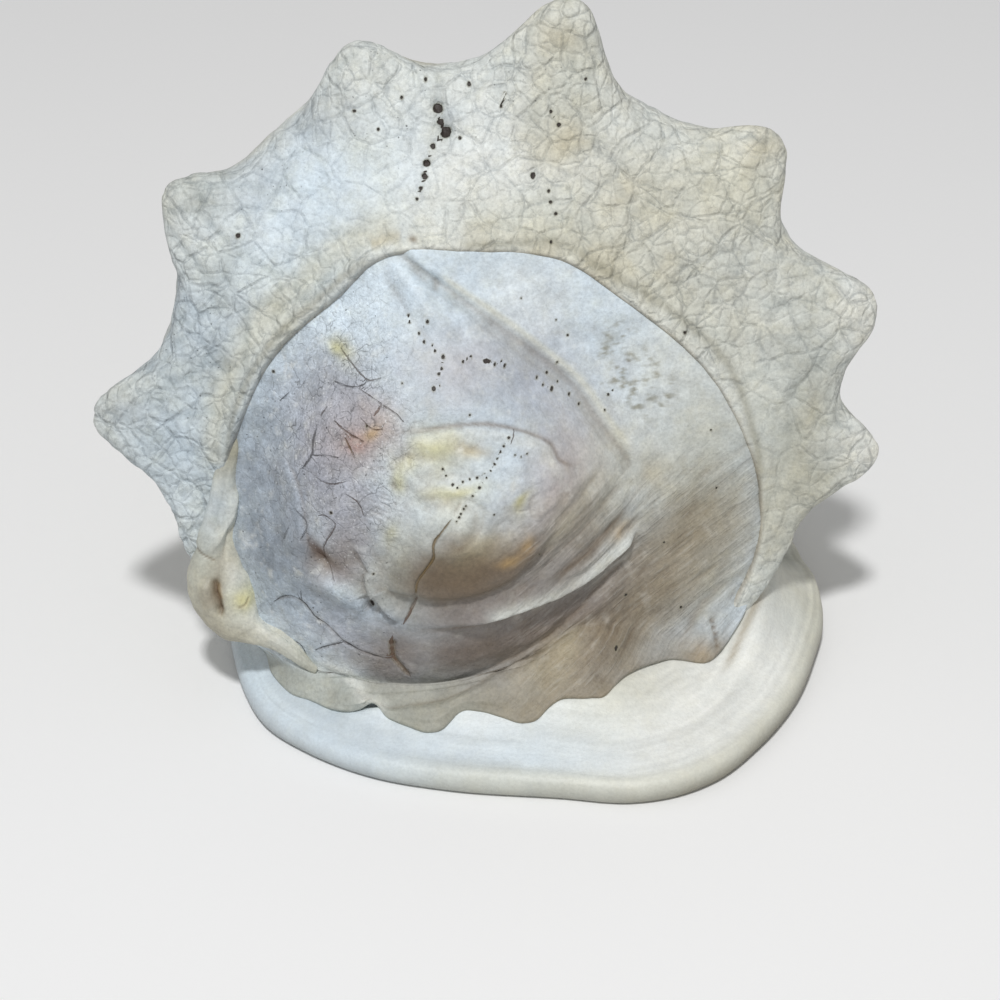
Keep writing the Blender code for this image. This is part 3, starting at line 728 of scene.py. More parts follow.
# Cracks: the line, half the width, and how red-brown it is (0 nearly black, 1 gold-brown)
spireCracks = [
    ([(-57.2, 35.2), (-53.2, 38.9), (-49.5, 38.5), (-45.6, 34.5), (-41.9, 32.8), (-38, 28.8), (-32, 25.9),
      (-27.6, 24.9)],
     0.15, 0.0),
    ([(-46.3, 23.4), (-43.5, 25.5), (-38, 28.8)], 0.18, 0.0), ([(-49.5, 42), (-49, 38.4), (-45.6, 34.5)],
                                                               0.12, 0.0),
    ([(-56, 22), (-51, 24.5), (-48.5, 20.5), (-46, 17.5), (-41, 17), (-37, 18)], 0.1, 0.1),
    ([(-25.3, 33.6), (-25.9, 30.5), (-25.5, 25.6), (-23.5, 22.4), (-20.9, 18.8)], 0.5, 0.62), ([(-27.6, 24.9),
                                                                                                (-25.5,
                                                                                                 25.6)], 0.4,
                                                                                                 0.5),
    ([(-9.6, 71.2), (-12, 67.8), (-13.9, 64.7), (-14.4, 59.8), (-18.1, 53.7), (-18.7, 49.6)], 0.27, 1.0),
    ([(-18.7, 47.5), (-20.5, 43), (-22.5, 38.2)], 0.3, 0.35), ([(-27.1, 95.2), (-29.3, 92.7)], 0.3, 0.3),
    ([(-41.3, 91.7), (-43.1, 89)], 0.16, 0.1), ([(-39.7, 89.6), (-36.5, 88.3), (-31.5, 86.9)], 0.18, 0.2),
    ([(-36.5, 86.9), (-34.7, 83.9), (-34, 82.8)], 0.26, 0.9), ([(-43.9, 87.2), (-45, 83.9), (-45.6, 80.1),
                                                                (-48.1, 75.8)], 0.2, 0.0),
    ([(-45.6, 80.1), (-41.7, 81.5), (-38, 82.1)], 0.15, 0.0), ([(-44.7, 75.7), (-41, 75.2), (-36.2, 76.9)],
                                                               0.14, 0.1),
    ([(-44.1, 66.1), (-41.9, 67), (-39.4, 65.1), (-41.7, 60.3), (-42.9, 57.3), (-43.1, 53)], 0.15, 0.1),
    ([(-45.7, 54.6), (-43.1, 52.5), (-39.9, 48.3)], 0.18, 0.2), ([(-39.9, 97), (-35.5, 97.1), (-32.6, 97.9),
                                                                  (-30.7, 99.2)], 0.14, 0.0),
    ([(-33.7, 97.5), (-30.1, 96.5), (-26.8, 95.3), (-23.6, 93.9), (-21.2, 92)], 0.12, 0.1), ([(-52.1, 59.4),
                                                                                              (-53.8, 55.1)],
                                                                                              0.22, 0.0),
    ([(-54.1, 87.7), (-51.1, 90.8)], 0.14, 0.0), ([(6.5, 90), (5, 86.5)], 0.14, 0.2),
    ([(-38, 104), (-34, 101), (-30.5, 99.4), (-27, 100.5)], 0.12, 0.1), ([(-33, 92), (-29.5, 90),
                                                                          (-26.5, 90.4)], 0.12, 0.6),
    ([(-50, 66), (-47.5, 62), (-48.5, 57.5)], 0.1, 0.0), ([(-37, 74), (-33.5, 72), (-32, 68.5)], 0.1, 0.2),
]

# Small bored holes and dots: x, z, radius
spirePits = [
    (-20.5, 112.8, 0.6), (-20.2, 111.8, 0.5), (-15.7, 111.6, 0.5), (-17.8, 109.7, 0.4), (-16.5, 108.1, 0.5),
    (-14.3, 107.3, 0.45), (-13.8, 106.5, 0.6), (-11.7, 105.2, 0.65), (-6.6, 103.9, 0.5), (-5.6, 104.2, 0.5),
    (-4.8, 104.4, 0.45), (-1.1, 103, 1.0), (-0.5, 102.8, 1.0), (1.1, 101.9, 0.5), (3.6, 101, 0.55),
    (2.8, 101.9, 0.35), (-12.7, 102.2, 0.6), (-12.1, 102.9, 0.6), (-14, 99.3, 0.8), (12, 96.3, 0.4),
    (14.9, 96.5, 0.4), (13.5, 94.6, 0.35), (15.8, 93.2, 0.6), (17.7, 94.1, 0.3), (17, 98, 0.35),
    (20.6, 90.8, 0.45), (23.2, 88.1, 0.45), (29.2, 85.1, 0.4), (30.5, 88.6, 0.7), (31.6, 89.3, 0.4),
    (-11.8, 82.4, 0.45), (-11, 80.9, 0.35), (-9.3, 78.9, 0.5), (-8.2, 78.2, 0.35), (-0.9, 80.1, 0.4),
    (-2.7, 78, 0.5), (-4.4, 76.2, 0.35), (-6, 74, 0.35), (-7.3, 72.3, 0.4), (-8.4, 70.6, 0.3),
    (-6.8, 79.5, 0.35), (-5, 80, 0.35), (-3.2, 80.2, 0.4), (-1.4, 80.9, 0.35), (0.2, 81.6, 0.4),
    (1.2, 82.9, 0.5), (1.9, 84.2, 0.35), (2.6, 85.4, 0.4), (3.4, 86.6, 0.35), (4.6, 88.2, 0.45),
    (6.2, 84.2, 0.3), (7.8, 83.6, 0.3), (9.2, 84, 0.3), (-31, 42.6, 1.1), (-55.5, 94.6, 0.5),
    (-40.3, 68.2, 0.5), (-31, 90.4, 0.35), (20, 104, 0.35), (17, 108, 0.3), (46, 47, 0.5), (51, 28, 0.5),
    (28, 44.5, 0.5), (36, 34.5, 0.6), (33, 24, 0.6), (60, 59, 0.45), (11, 40.5, 0.4), (-12.6, 99.8, 0.3),
    (-22, 100, 0.3), (-5, 93.8, 0.3), (1, 71, 0.3), (13, 57, 0.35), (58, 75, 0.4), (8, 114, 0.3),
    (-29.5, 53.5, 0.4),
]


def paintSpire(rows, lift, below):
    place = wavered(rows[..., [0, 2]], rows)
    colour = tone("coolWhite") + 0 * rows
    older = smoothStep(-8, 8, place[..., 1] - 40) * dent(place, -8, 78, 34, 1.0, 1.2, 0)
    for seed, name, share in ((96, "beige", 0.75), (97, "lilac", 0.7), (98, "ice", 0.7)):
        patch = smoothStep(0.15, 0.6, layeredNoise(rows, 8, seed))
        colour = toned(colour, name, share * patch * (0.35 + 0.65 * older))
    colour = blotted(colour, place, spireBlots)
    leftShare = smoothStep(-26, -44, rows[..., 0])
    blotch = layeredNoise(rows, 4.2, 87, 3)
    fineBlotch = layeredNoise(rows, 1.5, 88, 2)
    colour = colour * (1 + (0.2 * blotch + 0.2 * fineBlotch) * (0.35 + 0.65 * leftShare))[..., None]
    # pale flakes, fewer on the brown foot of the nub
    flakes = smoothStep(0.28, 0.7, layeredNoise(rows, 2.6, 89, 3))
    flakes *= 0.25 + 0.5 * np.maximum(leftShare, older)
    flakes *= 1 - np.clip(dent(place, -4, 56, 11, 1.3, 1.8, 5), 0, 1)
    colour = toned(colour, "bright", 0.5 * flakes)
    # the sheet: grey-green on the left, tan and brown on the right; partly painted shade where it lies under
    # the spire
    sheetShare = smoothStep(0.55, 0.75, np.arange(len(rows)) / len(rows))[:, None] * below[:, 0][None, :]
    side = smoothStep(-40, 30, rows[..., 0])[..., None]
    sheetTone = tone("greyGreen") * (1 - side) + tone("shadowBrown") * 0.35 * side + tone("tan") * 0.65 * side
    colour = colour + (sheetTone - colour) * (0.85 * sheetShare * smoothStep(23, 15, rows[..., 2]))[..., None]
    # long streaks that run to the lower left
    along, aside = slanted(rows[..., 0], rows[..., 2], 30)
    streaks = layeredNoise(inPlane(along / 5, aside), 2.4, 91)
    lowerRight = smoothStep(0, 22, rows[..., 0]) * smoothStep(74, 58, rows[..., 2])
    fine = layeredNoise(inPlane(along / 6, aside), 0.8, 95, 2)
    colour = colour * (1 + (0.1 * streaks + 0.08 * fine) * lowerRight)[..., None]
    # green-grey smudges on the crescent
    smudgeSpots = [(33, 98, 5, 1.5, -60, 1, "bone"), (40, 88, 6, 1.4, -50, 1, "bone")]
    smudge = blotted(np.zeros(rows.shape), place, smudgeSpots)[..., 0]
    speckled = smoothStep(0.05, 0.5, layeredNoise(rows, 1.5, 92)) * smoothStep(0.02, 0.4, smudge)
    colour = toned(colour, "olive", 0.75 * speckled)
    colour = brushed(colour, rows[..., [0, 2]], spireMarks)
    colour = colour * (1 + 0.07 * layeredNoise(rows, 7, 93))[..., None]
    # painted shade: umber in the hollows of the relief
    hollow = np.clip(hollowShadeDepth(lift) / 0.35, 0, 1)
    colour = toned(colour, "umber", 0.35 * hollow)
    leftSide = smoothStep(-14, -36, rows[..., 0])
    net = np.clip(dent(place, -36, 84, 15, 1.3, 1.5, 70) + 0.45 * leftSide, 0, 1)
    sparkle = np.clip(leftSide + dent(place, -30, 92, 12, 0.5), 0, 1)
    onWhorls = 1 - smoothStep(21, 15, rows[..., 2]) * sheetShare
    streaked = smoothStep(-4, 14, rows[..., 0]) * smoothStep(76, 60, rows[..., 2])
    finish = np.stack([net * onWhorls, (0.15 + 0.85 * sparkle) * onWhorls, streaked], axis=-1)
    gloss = 0.5 + 0.08 * layeredNoise(rows, 12, 94)
    return {
        "tint": coated(colour, gloss),
        "finish": finish,
        "crack": cracksOf(rows[..., [0, 2]], spireCracks),
        "hole": pitsOf(rows[..., [0, 2]], spirePits, 0.62),
    }


def spireRings():
    clock = np.arange(spire["columns"]) * 360 / spire["columns"]
    knots = coilKnots(clock)
    apex, nub, middle, spireEdge, whorlEdge = knots[:5]
    axis = np.array([coil["axis"][0], 0, coil["axis"][1]])
    outward = whorlEdge * [1, 0, 1] - axis
    outward /= np.linalg.norm(outward, axis=-1, keepdims=True)
    below = (smoothStep(*spire["sheetFrom"], clock) * (1 - smoothStep(*spire["sheetTo"], clock)))[:, None]
    x = aroundCurve(spire["sheetEdge"], clock, 1)
    y = aroundCurve(spire["sheetEdge"], clock, 2)
    sheet = np.stack([x, y, ledgeHeight(x, y) + spire["sheetLift"]], axis=-1)
    lying = spireEdge + (whorlEdge - spireEdge) * 0.72
    lying[:, 2] = np.maximum(lying[:, 2], ledgeHeight(lying[:, 0], lying[:, 1]) + 1.4 * spire["sheetLift"])
    reach, depth = spire["tuck"]
    hidden = whorlEdge + outward * reach + [0, depth, 0]
    edge = whorlEdge + (lying - whorlEdge) * below
    rim = hidden + (sheet - hidden) * below
    rows = throughRings([apex, nub, middle, spireEdge, edge, rim], spire["steps"])[1:]
    # the sheet never sinks into the ledge
    zone = np.clip(below[:, 0] * 1.2 - 0.1, 0, 1)
    first = sum(spire["steps"][:3]) + spire["steps"][3] // 2
    for row in rows[first:]:
        lowest = ledgeHeight(row[:, 0], row[:, 1]) + 0.9 * spire["sheetLift"]
        row[:, 2] += np.maximum(lowest - row[:, 2], 0) * zone
    return rows, below


def shapeSpire():
    rows, below = spireRings()
    place = rows[..., [0, 2]]
    lift = np.zeros(rows.shape[:2])
    for feature in spireStrokes:
        lift += stroke(place, feature)
    for bump in spireDents:
        lift += dent(place, *bump)
    # ribs on the left of the nub
    window = dent(place, -27.5, 71.5, 4.2, 1.0, 1.7, 82)
    wander = 0.5 * layeredNoise(rows, 6, 14)
    lift += 0.11 * window * np.sin(2 * math.pi * ((place[..., 1] + 0.2 * place[..., 0]) / 1.5 + wander))
    # streaked relief on the lower right, lumps elsewhere
    along, aside = slanted(place[..., 0], place[..., 1], 32)
    streaks = layeredNoise(inPlane(along / 3.2, aside), 2.6, 3)
    lowerRight = smoothStep(-8, 14, place[..., 0]) * smoothStep(78, 62, place[..., 1])
    fineStreaks = layeredNoise(inPlane(along / 5, aside), 0.95, 16, 2)
    lift += (0.6 * streaks + 0.16 * fineStreaks) * lowerRight
    old = np.clip(dent(place, -12, 76, 27, 1.6, 1.1, 0), 0, 1)
    lift += 0.6 * layeredNoise(rows, 13, 11) + 0.26 * layeredNoise(rows, 4.5, 12) * (1 - 0.6 * lowerRight)
    lift += 0.09 * layeredNoise(rows, 1.5, 17, 2) * (0.4 + 0.6 * old)
    # knobbly ring round the nub
    knobbly = np.clip(patchesOf(place, spire["knobbly"]), 0, 1)
    cells = creaseNet(warped(rows, 4, 2.0, 18), 4.6, 19)
    lift += 0.6 * (np.minimum(cells / 1.3, 1) ** 0.7 - 0.6) * knobbly
    leftSide = smoothStep(-20, -38, place[..., 0]) * smoothStep(-0.25, 0.35, layeredNoise(rows, 15, 15))
    lift -= 0.16 * leftSide * np.exp(-((creaseNet(warped(rows, 5, 2.2, 4), 3.0, 5) / 0.35) ** 2))
    reach = np.linalg.norm(rows[..., [0, 2]] - np.array(coil["axis"]), axis=-1)
    calm = np.ones(rows.shape[:2])
    calm[-6:] = np.linspace(0.6, 0, 6)[:, None]
    lift *= calm * smoothStep(0.0, 3.0, reach)
    painted = paintSpire(rows, lift, below)
    folds = spire["rimFolds"]
    painted = {label: np.concatenate([values, values[-len(folds):]]) for label, values in painted.items()}
    rows = slip(rows, lift)
    under = [rows[-1] + np.array(tucked) * (1 - below) + np.array(lying) * below for tucked, lying in folds]
    apex = (coil["axis"][0], coil["apexY"], coil["axis"][1])
    return newLattice("spireWhorls", np.concatenate([rows, under]), apex, spire["inside"], painted)


# The last whorl: face with the suture lip, horns, and the flank behind
body = {
    "columns": 600,
    "faceRows": 66,
    "steps": [17, 17, 15, 13, 10, 7, 5],
    # the lip over the suture: clock angle, height, width
    "lip": [
        (0, 1.2, 5.0), (20, 1.0, 5.5), (45, 0.9, 6.0), (70, 0.9, 6.0), (95, 1.1, 5.6), (113, 1.2, 5.0),
        (130, 0.5, 4), (200, 0.5, 4), (226, 0.6, 5), (240, 0.8, 5.5), (255, 2.2, 6.0), (275, 3.0, 6.8),
        (300, 2.9, 7.0), (325, 2.7, 6.6), (341, 2.4, 5.6), (351, 1.7, 4.6),
    ],
    "lipProfile": [(0, -1), (0.03, -0.3), (0.07, 0.35), (0.16, 0.82), (0.3, 1), (0.5, 0.92), (0.75, 0.62),
                   (1.0, 0.3), (1.4, 0.08), (2.0, 0)],
    "tuck": 2.6,
    "relax": 14,
    "inside": (-9.0, -20.0, 60.0),
    # patches of the face: x, z, radius, share, and where they are long: stretch, lean
    "speckled": [
        (-20, 158, 14, 1.2, 1.8, 0), (15, 163, 9, 0.8), (-58, 138, 10, 1.2), (-78, 100, 16, 0.9),
        (-72, 80, 16, 0.8),
    ],
    "smooth": [(-34, 140, 17, 1.0, 1.9, 12), (2, 141, 12, 0.8, 1.5, 0), (60, 60, 14, 0.7, 1.4, 80)],
    "unwrinkled": [(-34, 140, 15, 0.75, 1.9, 12), (70, 62, 16, 1.0, 2.4, 80)],
}

bodyStrokes = [
    # valley inside the horns on the right
    {"line": [(81, 100), (79.5, 93), (78, 84), (76, 71), (74.7, 61), (74, 48), (75, 38)],
     "profile": [(-7, 0), (-3, 0.7), (0, -0.8), (3, 0.5), (6, 0)], "fade": (16, 10)},
    # creases on the left and along the top
    {"line": [(-27, 130), (-38, 122), (-47, 113), (-56, 101), (-62, 90)],
     "profile": [(-4, 0), (-2, 0.15), (0, -0.45), (2, 0.15), (4, 0)], "fade": (8, 20)},
    {"line": [(-62, 125), (-52, 127), (-40, 129), (-28, 130.5)],
     "profile": [(-1.5, 0), (0, -0.22), (1.5, 0)], "fade": (9, 9)},
    {"line": [(-30, 143), (-24, 136), (-21, 130)],
     "profile": [(-1.5, 0), (0, -0.3), (1.5, 0)], "fade": (6, 3)},
]

# Holes bored or worn through the face: x, z, radius
bodyHoles = [
    (-12.9, 157.2, 1.7), (-12.2, 154.4, 1.3), (-11.0, 152.4, 1.9), (-14.2, 149.2, 0.8), (-15.8, 145.5, 1.2),
    (-16.3, 142.8, 1.0), (-17.3, 140.2, 0.6), (-18.3, 137.9, 0.5),
    (-7.4, 150.9, 0.5), (15.6, 156.9, 0.6), (17.6, 153.7, 0.7), (11.3, 142.3, 1.1), (12.9, 142.2, 0.4),
    (15.1, 138.6, 0.5), (15.5, 136.1, 0.5), (16.9, 133.4, 0.5), (15.6, 127.2, 0.45), (50.5, 101.5, 0.5),
    (-64.1, 127.1, 0.8), (24.5, 164, 0.5), (-34, 157, 0.6), (-22, 160, 0.5), (-5, 162, 0.6),
    (3, 158, 0.5), (-16, 163, 0.5), (4, 161, 0.4), (-28, 153, 0.5),
]

bodyBlots = [
    (-50, 124, 24, 1.4, 40, 0.6, "coolWhite"), (-78, 72, 20, 1.6, 85, 0.6, "sky"),
    (-74, 98, 18, 1.4, 80, 0.55, "blueGrey"), (-34, 141, 15, 1.9, 15, 0.8, "ice"),
    (-58, 118, 7, 1.3, 0, 0.6, "ice"), (-45, 124, 8, 1.4, 0, 0.5, "ice"), (2, 144, 14, 1.5, 0, 0.7, "bright"),
    (-32, 166, 8, 1.3, 0, 0.6, "bone"), (18, 171, 10, 1.2, 60, 0.55, "beige"),
    (20, 158, 9, 1.5, 80, 0.4, "cream"), (38, 130, 18, 1.5, -45, 0.45, "beige"),
    (58, 112, 18, 1.4, -60, 0.35, "beige"), (66, 138, 12, 1.3, 0, 0.45, "cream"),
    (84, 96, 13, 1.8, 85, 0.5, "greyGreen"), (82, 66, 12, 2.2, 85, 0.65, "greyGreen"),
    (75, 84, 8, 2.2, 85, 0.35, "warmWhite"), (78, 48, 10, 2.0, 85, 0.5, "beige"),
    (96, 100, 10, 1.5, 70, 0.5, "warmWhite"), (-12, 133, 10, 1.8, 0, 0.5, "warmWhite"),
    (10, 131, 9, 2.2, -5, 0.5, "cream"), (-76, 139, 8, 1.2, 0, 0.5, "greyGreen"),
    (-92, 85, 8, 1.3, 0, 0.2, "slate"), (-66, 60, 12, 1.5, 80, 0.3, "blueGrey"),
    (102, 104, 10, 1.3, 0, 0.7, "bright"), (104, 66, 9, 1.3, 0, 0.7, "bright"),
    (-20.5, 128.8, 1.1, 1.2, 0, 0.8, "umber"), (-50, 108, 10, 2.2, 55, 0.35, "cream"),
    (20.5, 150, 4.5, 1.3, 0, 0.5, "sand"), (17.8, 173, 4, 1.4, 0, 0.5, "sand"),
    (34.6, 137, 5, 1.3, 80, 0.25, "sand"), (14, 127, 4.5, 1.3, 0, 0.35, "sand"),
    (-2.4, 131, 3.5, 1.5, 0, 0.35, "sand"), (72, 145, 5, 1.3, 0, 0.45, "sand"),
    (29, 121, 5, 1.4, -40, 0.45, "sand"), (46, 118, 3.5, 1.6, 60, 0.3, "sand"),
    (-12, 154, 4.5, 1.4, 80, 0.35, "greyGreen"), (12, 155, 4, 1.6, 80, 0.4, "greyGreen"),
    (-8.6, 157, 2.2, 1, 0, 0.35, "slate"), (84, 78, 4, 2.4, 80, 0.3, "sand"),
    (-46, 152, 4.5, 1.8, 30, 0.25, "slate"), (-58, 138, 4, 1.4, 0, 0.3, "slate"),
    (-69, 96, 4, 1.8, 70, 0.3, "slate"),
]

rightSuture = [(-8, 127), (4, 127), (18, 126), (28, 119.5), (41, 111), (50, 104), (60, 94), (66, 82),
               (70, 68), (71, 56)]
bodyMarks = [
    # cream lip along the suture on the left; olive towards the groove, painted shade
    {"line": [(-67, 68), (-66.5, 80), (-62, 92), (-55, 104), (-46, 113), (-37, 121), (-28, 126), (-20, 129)],
     "offset": -4.2,
     "width": 3.6, "strength": 0.6, "tone": "cream", "fade": (3, 6)},
    {"line": [(-66, 62), (-66.5, 72), (-65, 82), (-60, 93), (-52, 104), (-44, 111), (-35, 119), (-27, 125)],
     "offset": -1.2,
     "width": 1.2, "strength": 0.5, "tone": "olive", "fade": (3, 6)},
    # painted grey-brown shadow just above the suture on the right
    {"line": rightSuture,
     "offset": -0.6, "width": 1.3, "strength": 0.5, "tone": "olive", "fade": (3, 8)},
    {"line": rightSuture[:-1],
     "offset": -4.5, "width": 4.0, "strength": 0.25, "tone": "cream", "fade": (3, 8)},
    {"line": [(-30, 127), (-26, 129), (-22, 130)], "offset": 0, "width": 1.6, "strength": 0.5, "tone": "sand",
     "fade": (1, 1)},
]


def paintBody(rows, lift, face, run, creased, threads):
    place = wavered(rows[..., [0, 2]], rows, 3.2, 12)
    back = 1 - face
    colour = tone("warmWhite") + 0 * rows
    colour = blotted(colour, place, bodyBlots, face)
    colour = brushed(colour, rows[..., [0, 2]], bodyMarks, face)
    # the back: cream with faint tan bands
    bands = smoothStep(0.1, 0.75, layeredNoise(rows * [1, 0.35, 1] + [0, 0, 40], 26, 101))
    colour = toned(colour, "bone", 0.5 * back)
    colour = toned(colour, "sand", 0.55 * back * bands)
    patches = layeredNoise(rows, 15, 102)
    warm = smoothStep(-0.1, 0.7, patches)[..., None]
    cool = smoothStep(0.1, -0.7, patches)[..., None]
    colour = colour * (1 - 0.06 * cool * (1 - np.array([0.4, 0.7, 1.0])))
    colour = colour * (1 - 0.10 * warm * np.array([0.0, 0.2, 0.7]))
    colour = colour * (1 + 0.06 * layeredNoise(rows, 5, 103) + 0.06 * threads)[..., None]
    # painted shade in the hollows of the relief, and darker along the large creases
    hollow = np.clip(hollowShadeDepth(lift) / 0.4, 0, 1)
    colour = colour * (1 - (0.16 * hollow + 0.1 * creased)[..., None] * np.array([1.0, 0.92, 0.86]))
    # a thin umber line at the lip's foot, along the suture: partly the dark joint, partly painted shade under
    # the lip
    seam = np.exp(-((run / 0.8) ** 2)) * face
    colour = toned(colour, "umber", 0.55 * seam)
    spots = np.clip(patchesOf(place, body["speckled"]), 0, 1) * face
    plates = patchesOf(place, body["unwrinkled"])
    wrinkle = np.clip(face * 0.75 + 0.25 - plates, 0.1, 1)
    finish = np.stack([threads, spots, wrinkle], axis=-1)
    gloss = 0.55 + 0.08 * layeredNoise(rows, 14, 104)
    onFace = face[..., None]
    holes = pitsOf(rows[..., [0, 2]], bodyHoles, 0.72, 1.0) * onFace + (1 - onFace) * [9, 9, 0]
    return {"tint": coated(colour, gloss), "finish": finish, "hole": holes}


def bodyRings():
    clock = np.arange(body["columns"]) * 360 / body["columns"]
    surface = throughRings(coilKnots(clock)[3:], [1, body["faceRows"], *body["steps"]], crowded=1)[1:-1]
    rows = surface.copy()
    axisX, axisZ = coil["axis"]
    for angle, radius, y, width in horns["tips"]:
        base = ringOf(coil["shoulder"], np.array([float(angle)]))[0]
        turn = math.radians(angle)
        tip = np.array([axisX + radius * math.sin(turn), y, axisZ + radius * math.cos(turn)])
        rows = raiseBump(rows, surface, base, tip - base, width)
    for angle, y, height, width in horns["knobs"]:
        line = surface[body["faceRows"] :, round(angle / 360 * body["columns"]) % body["columns"]]
        base = line[np.argmin(np.abs(line[:, 1] - y))]
        turn = math.radians(angle)
        outward = np.array([math.sin(turn), horns["lean"], math.cos(turn)])
        rows = raiseBump(rows, surface, base, outward * height, width)
    return clock, surface, relaxed(rows, body["relax"])


def shapeBody():
    clock, surface, rows = bodyRings()
    place = surface[..., [0, 2]]
    front = smoothStep(body["faceRows"] + 8, body["faceRows"], np.arange(len(rows)))[:, None]
    face = front * np.ones(rows.shape[:2])
    run = np.cumsum(np.linalg.norm(np.diff(surface, axis=0, prepend=surface[:1]), axis=-1), axis=0)
    lipHeight = aroundCurve(body["lip"], clock, 1)
    lipWidth = aroundCurve(body["lip"], clock, 2)
    profile = np.array(body["lipProfile"])
    share = np.interp(run / lipWidth, profile[:, 0], profile[:, 1])
    lumpy = 1 + 0.16 * layeredNoise(surface, 7, 21)
    lift = np.where(share < 0, share * body["tuck"], share * lipHeight * lumpy)
    away = smoothStep(0.5, 3.0, run)
    for feature in bodyStrokes:
        lift += stroke(place, feature) * face
    # leathery creases: strong on the left and along the crest, faint on the smooth plates in the middle
    left = smoothStep(10, -45, place[..., 0])
    plates = patchesOf(place, body["smooth"])
    crest = smoothStep(0.55, 0.95, np.arange(len(rows)) / body["faceRows"])[:, None] * face
    strength = np.clip(0.5 + 0.5 * left + 0.35 * crest - 0.75 * plates, 0.12, 1.3) * (0.35 + 0.65 * face)
    large = np.exp(-((creaseNet(warped(surface, 9, 2.6, 31), 10.5, 32) / 0.95) ** 2))
    small = np.exp(-((creaseNet(warped(surface, 5, 1.4, 33), 4.6, 34) / 0.85) ** 2))
    lift -= (0.5 * large + 0.26 * small * (0.4 + 0.6 * left)) * strength * away
    lumps = 0.34 * layeredNoise(surface, 5.5, 35) + 0.8 * layeredNoise(surface, 24, 36)
    lift += lumps * away * strength ** 0.5
    # spiral threads on the right of the face and round the back, growth lines across the back
    spiral = np.linalg.norm(surface[..., [0, 2]] - np.array(coil["axis"]), axis=-1)
    onRight = np.exp(-(((clock - 96) / 26) ** 2))[None, :] * face * smoothStep(10, 22, run)
    sway = spiral + 1.3 * layeredNoise(surface, 13, 44)
    threads = grainNoise(inPlane(sway / 1.25, clock / 9), 1.0, 41)
    threads = threads + 0.6 * grainNoise(inPlane(sway / 0.7, clock / 6), 1.0, 45)
    lift += 0.32 * threads * onRight
    back = (1 - face) * np.ones(rows.shape[:2])
    cords = np.sin(2 * math.pi * (run / 5.2 + 0.25 * layeredNoise(surface, 20, 42)))
    growth = grainNoise(inPlane(clock / 1.3, run / 45), 1.0, 43)
    lift += back * (0.16 * cords + 0.22 * growth)
    for x, z, radius in bodyHoles:
        lift += dent(place, x, z, max(radius * 0.8, 0.55), -1.1 * radius) * face
    # below, the face lies under the spire's sheet
    hidden = smoothStep(120, 132, clock) * smoothStep(232, 222, clock) * face * smoothStep(26, 14, run)
    lift *= 1 - hidden
    painted = paintBody(rows, lift, face, run, np.clip(large * strength, 0, 1) * away, threads * onRight)
    rows = slip(rows, lift) + hidden[..., None] * np.array([0, 4.5, -2.5])
    return newLattice("bodyWhorl", rows, body["inside"], coil["front"], painted)


# The rolled end of the suture lip, low on the left: a pouch with a pinched slit and a fold behind it
earFold = {
    "columns": 210,
    "stationRows": 9,
    # outer edge, inner edge, how far it stands out
    "stations": [
        ((-69.5, -51.5, 77), (-66, -52, 77), 0.1), ((-69.9, -53, 72), (-65.4, -53.5, 72.5), 1.4),
        ((-71.5, -54, 65), (-66.2, -54.5, 65.3), 3.4), ((-73, -55, 59), (-65.9, -56, 59.5), 4.2),
        ((-75, -56, 52), (-66.4, -57, 53.3), 4.8), ((-77.2, -57, 46), (-66.6, -58, 48), 5.4),
        ((-79.4, -57, 41.5), (-65.1, -59.5, 43), 6.6), ((-80.5, -57, 36.5), (-62.8, -61, 39), 7.8),
        ((-80.2, -57.5, 31), (-61.6, -62.5, 35), 8.6), ((-78.1, -59, 26.5), (-61.2, -63.5, 31.8), 8.6),
        ((-75, -61, 23), (-61, -64.5, 30), 8.0), ((-70.7, -63.5, 20.8), (-60.5, -65.5, 29), 7.0),
        ((-65.4, -66.5, 21.2), (-59.6, -66.5, 28.2), 5.0), ((-60.6, -68.6, 21.4), (-57.4, -67.5, 27.4), 3.8),
        ((-56.4, -70.6, 20.8), (-54, -69.8, 26.2), 2.8), ((-52.4, -72.6, 19.6), (-50.9, -71.8, 24.2), 2.0),
        ((-49, -74, 18.2), (-48.2, -73.4, 21), 1.2), ((-46.4, -75, 17.2), (-46, -74.8, 18.2), 0.1),
    ],
    "standsTo": (-0.14, -0.92, 0.36),
    "squareness": 2.5,
    "back": (9.0, 5.0),
}
# Two short nicks, cut and stained
upperNick = [(-77.2, 47.2), (-74.7, 46.2), (-72, 45.2)]
lowerNick = [(-67, 34.2), (-64.7, 34.5), (-63.2, 36.4)]

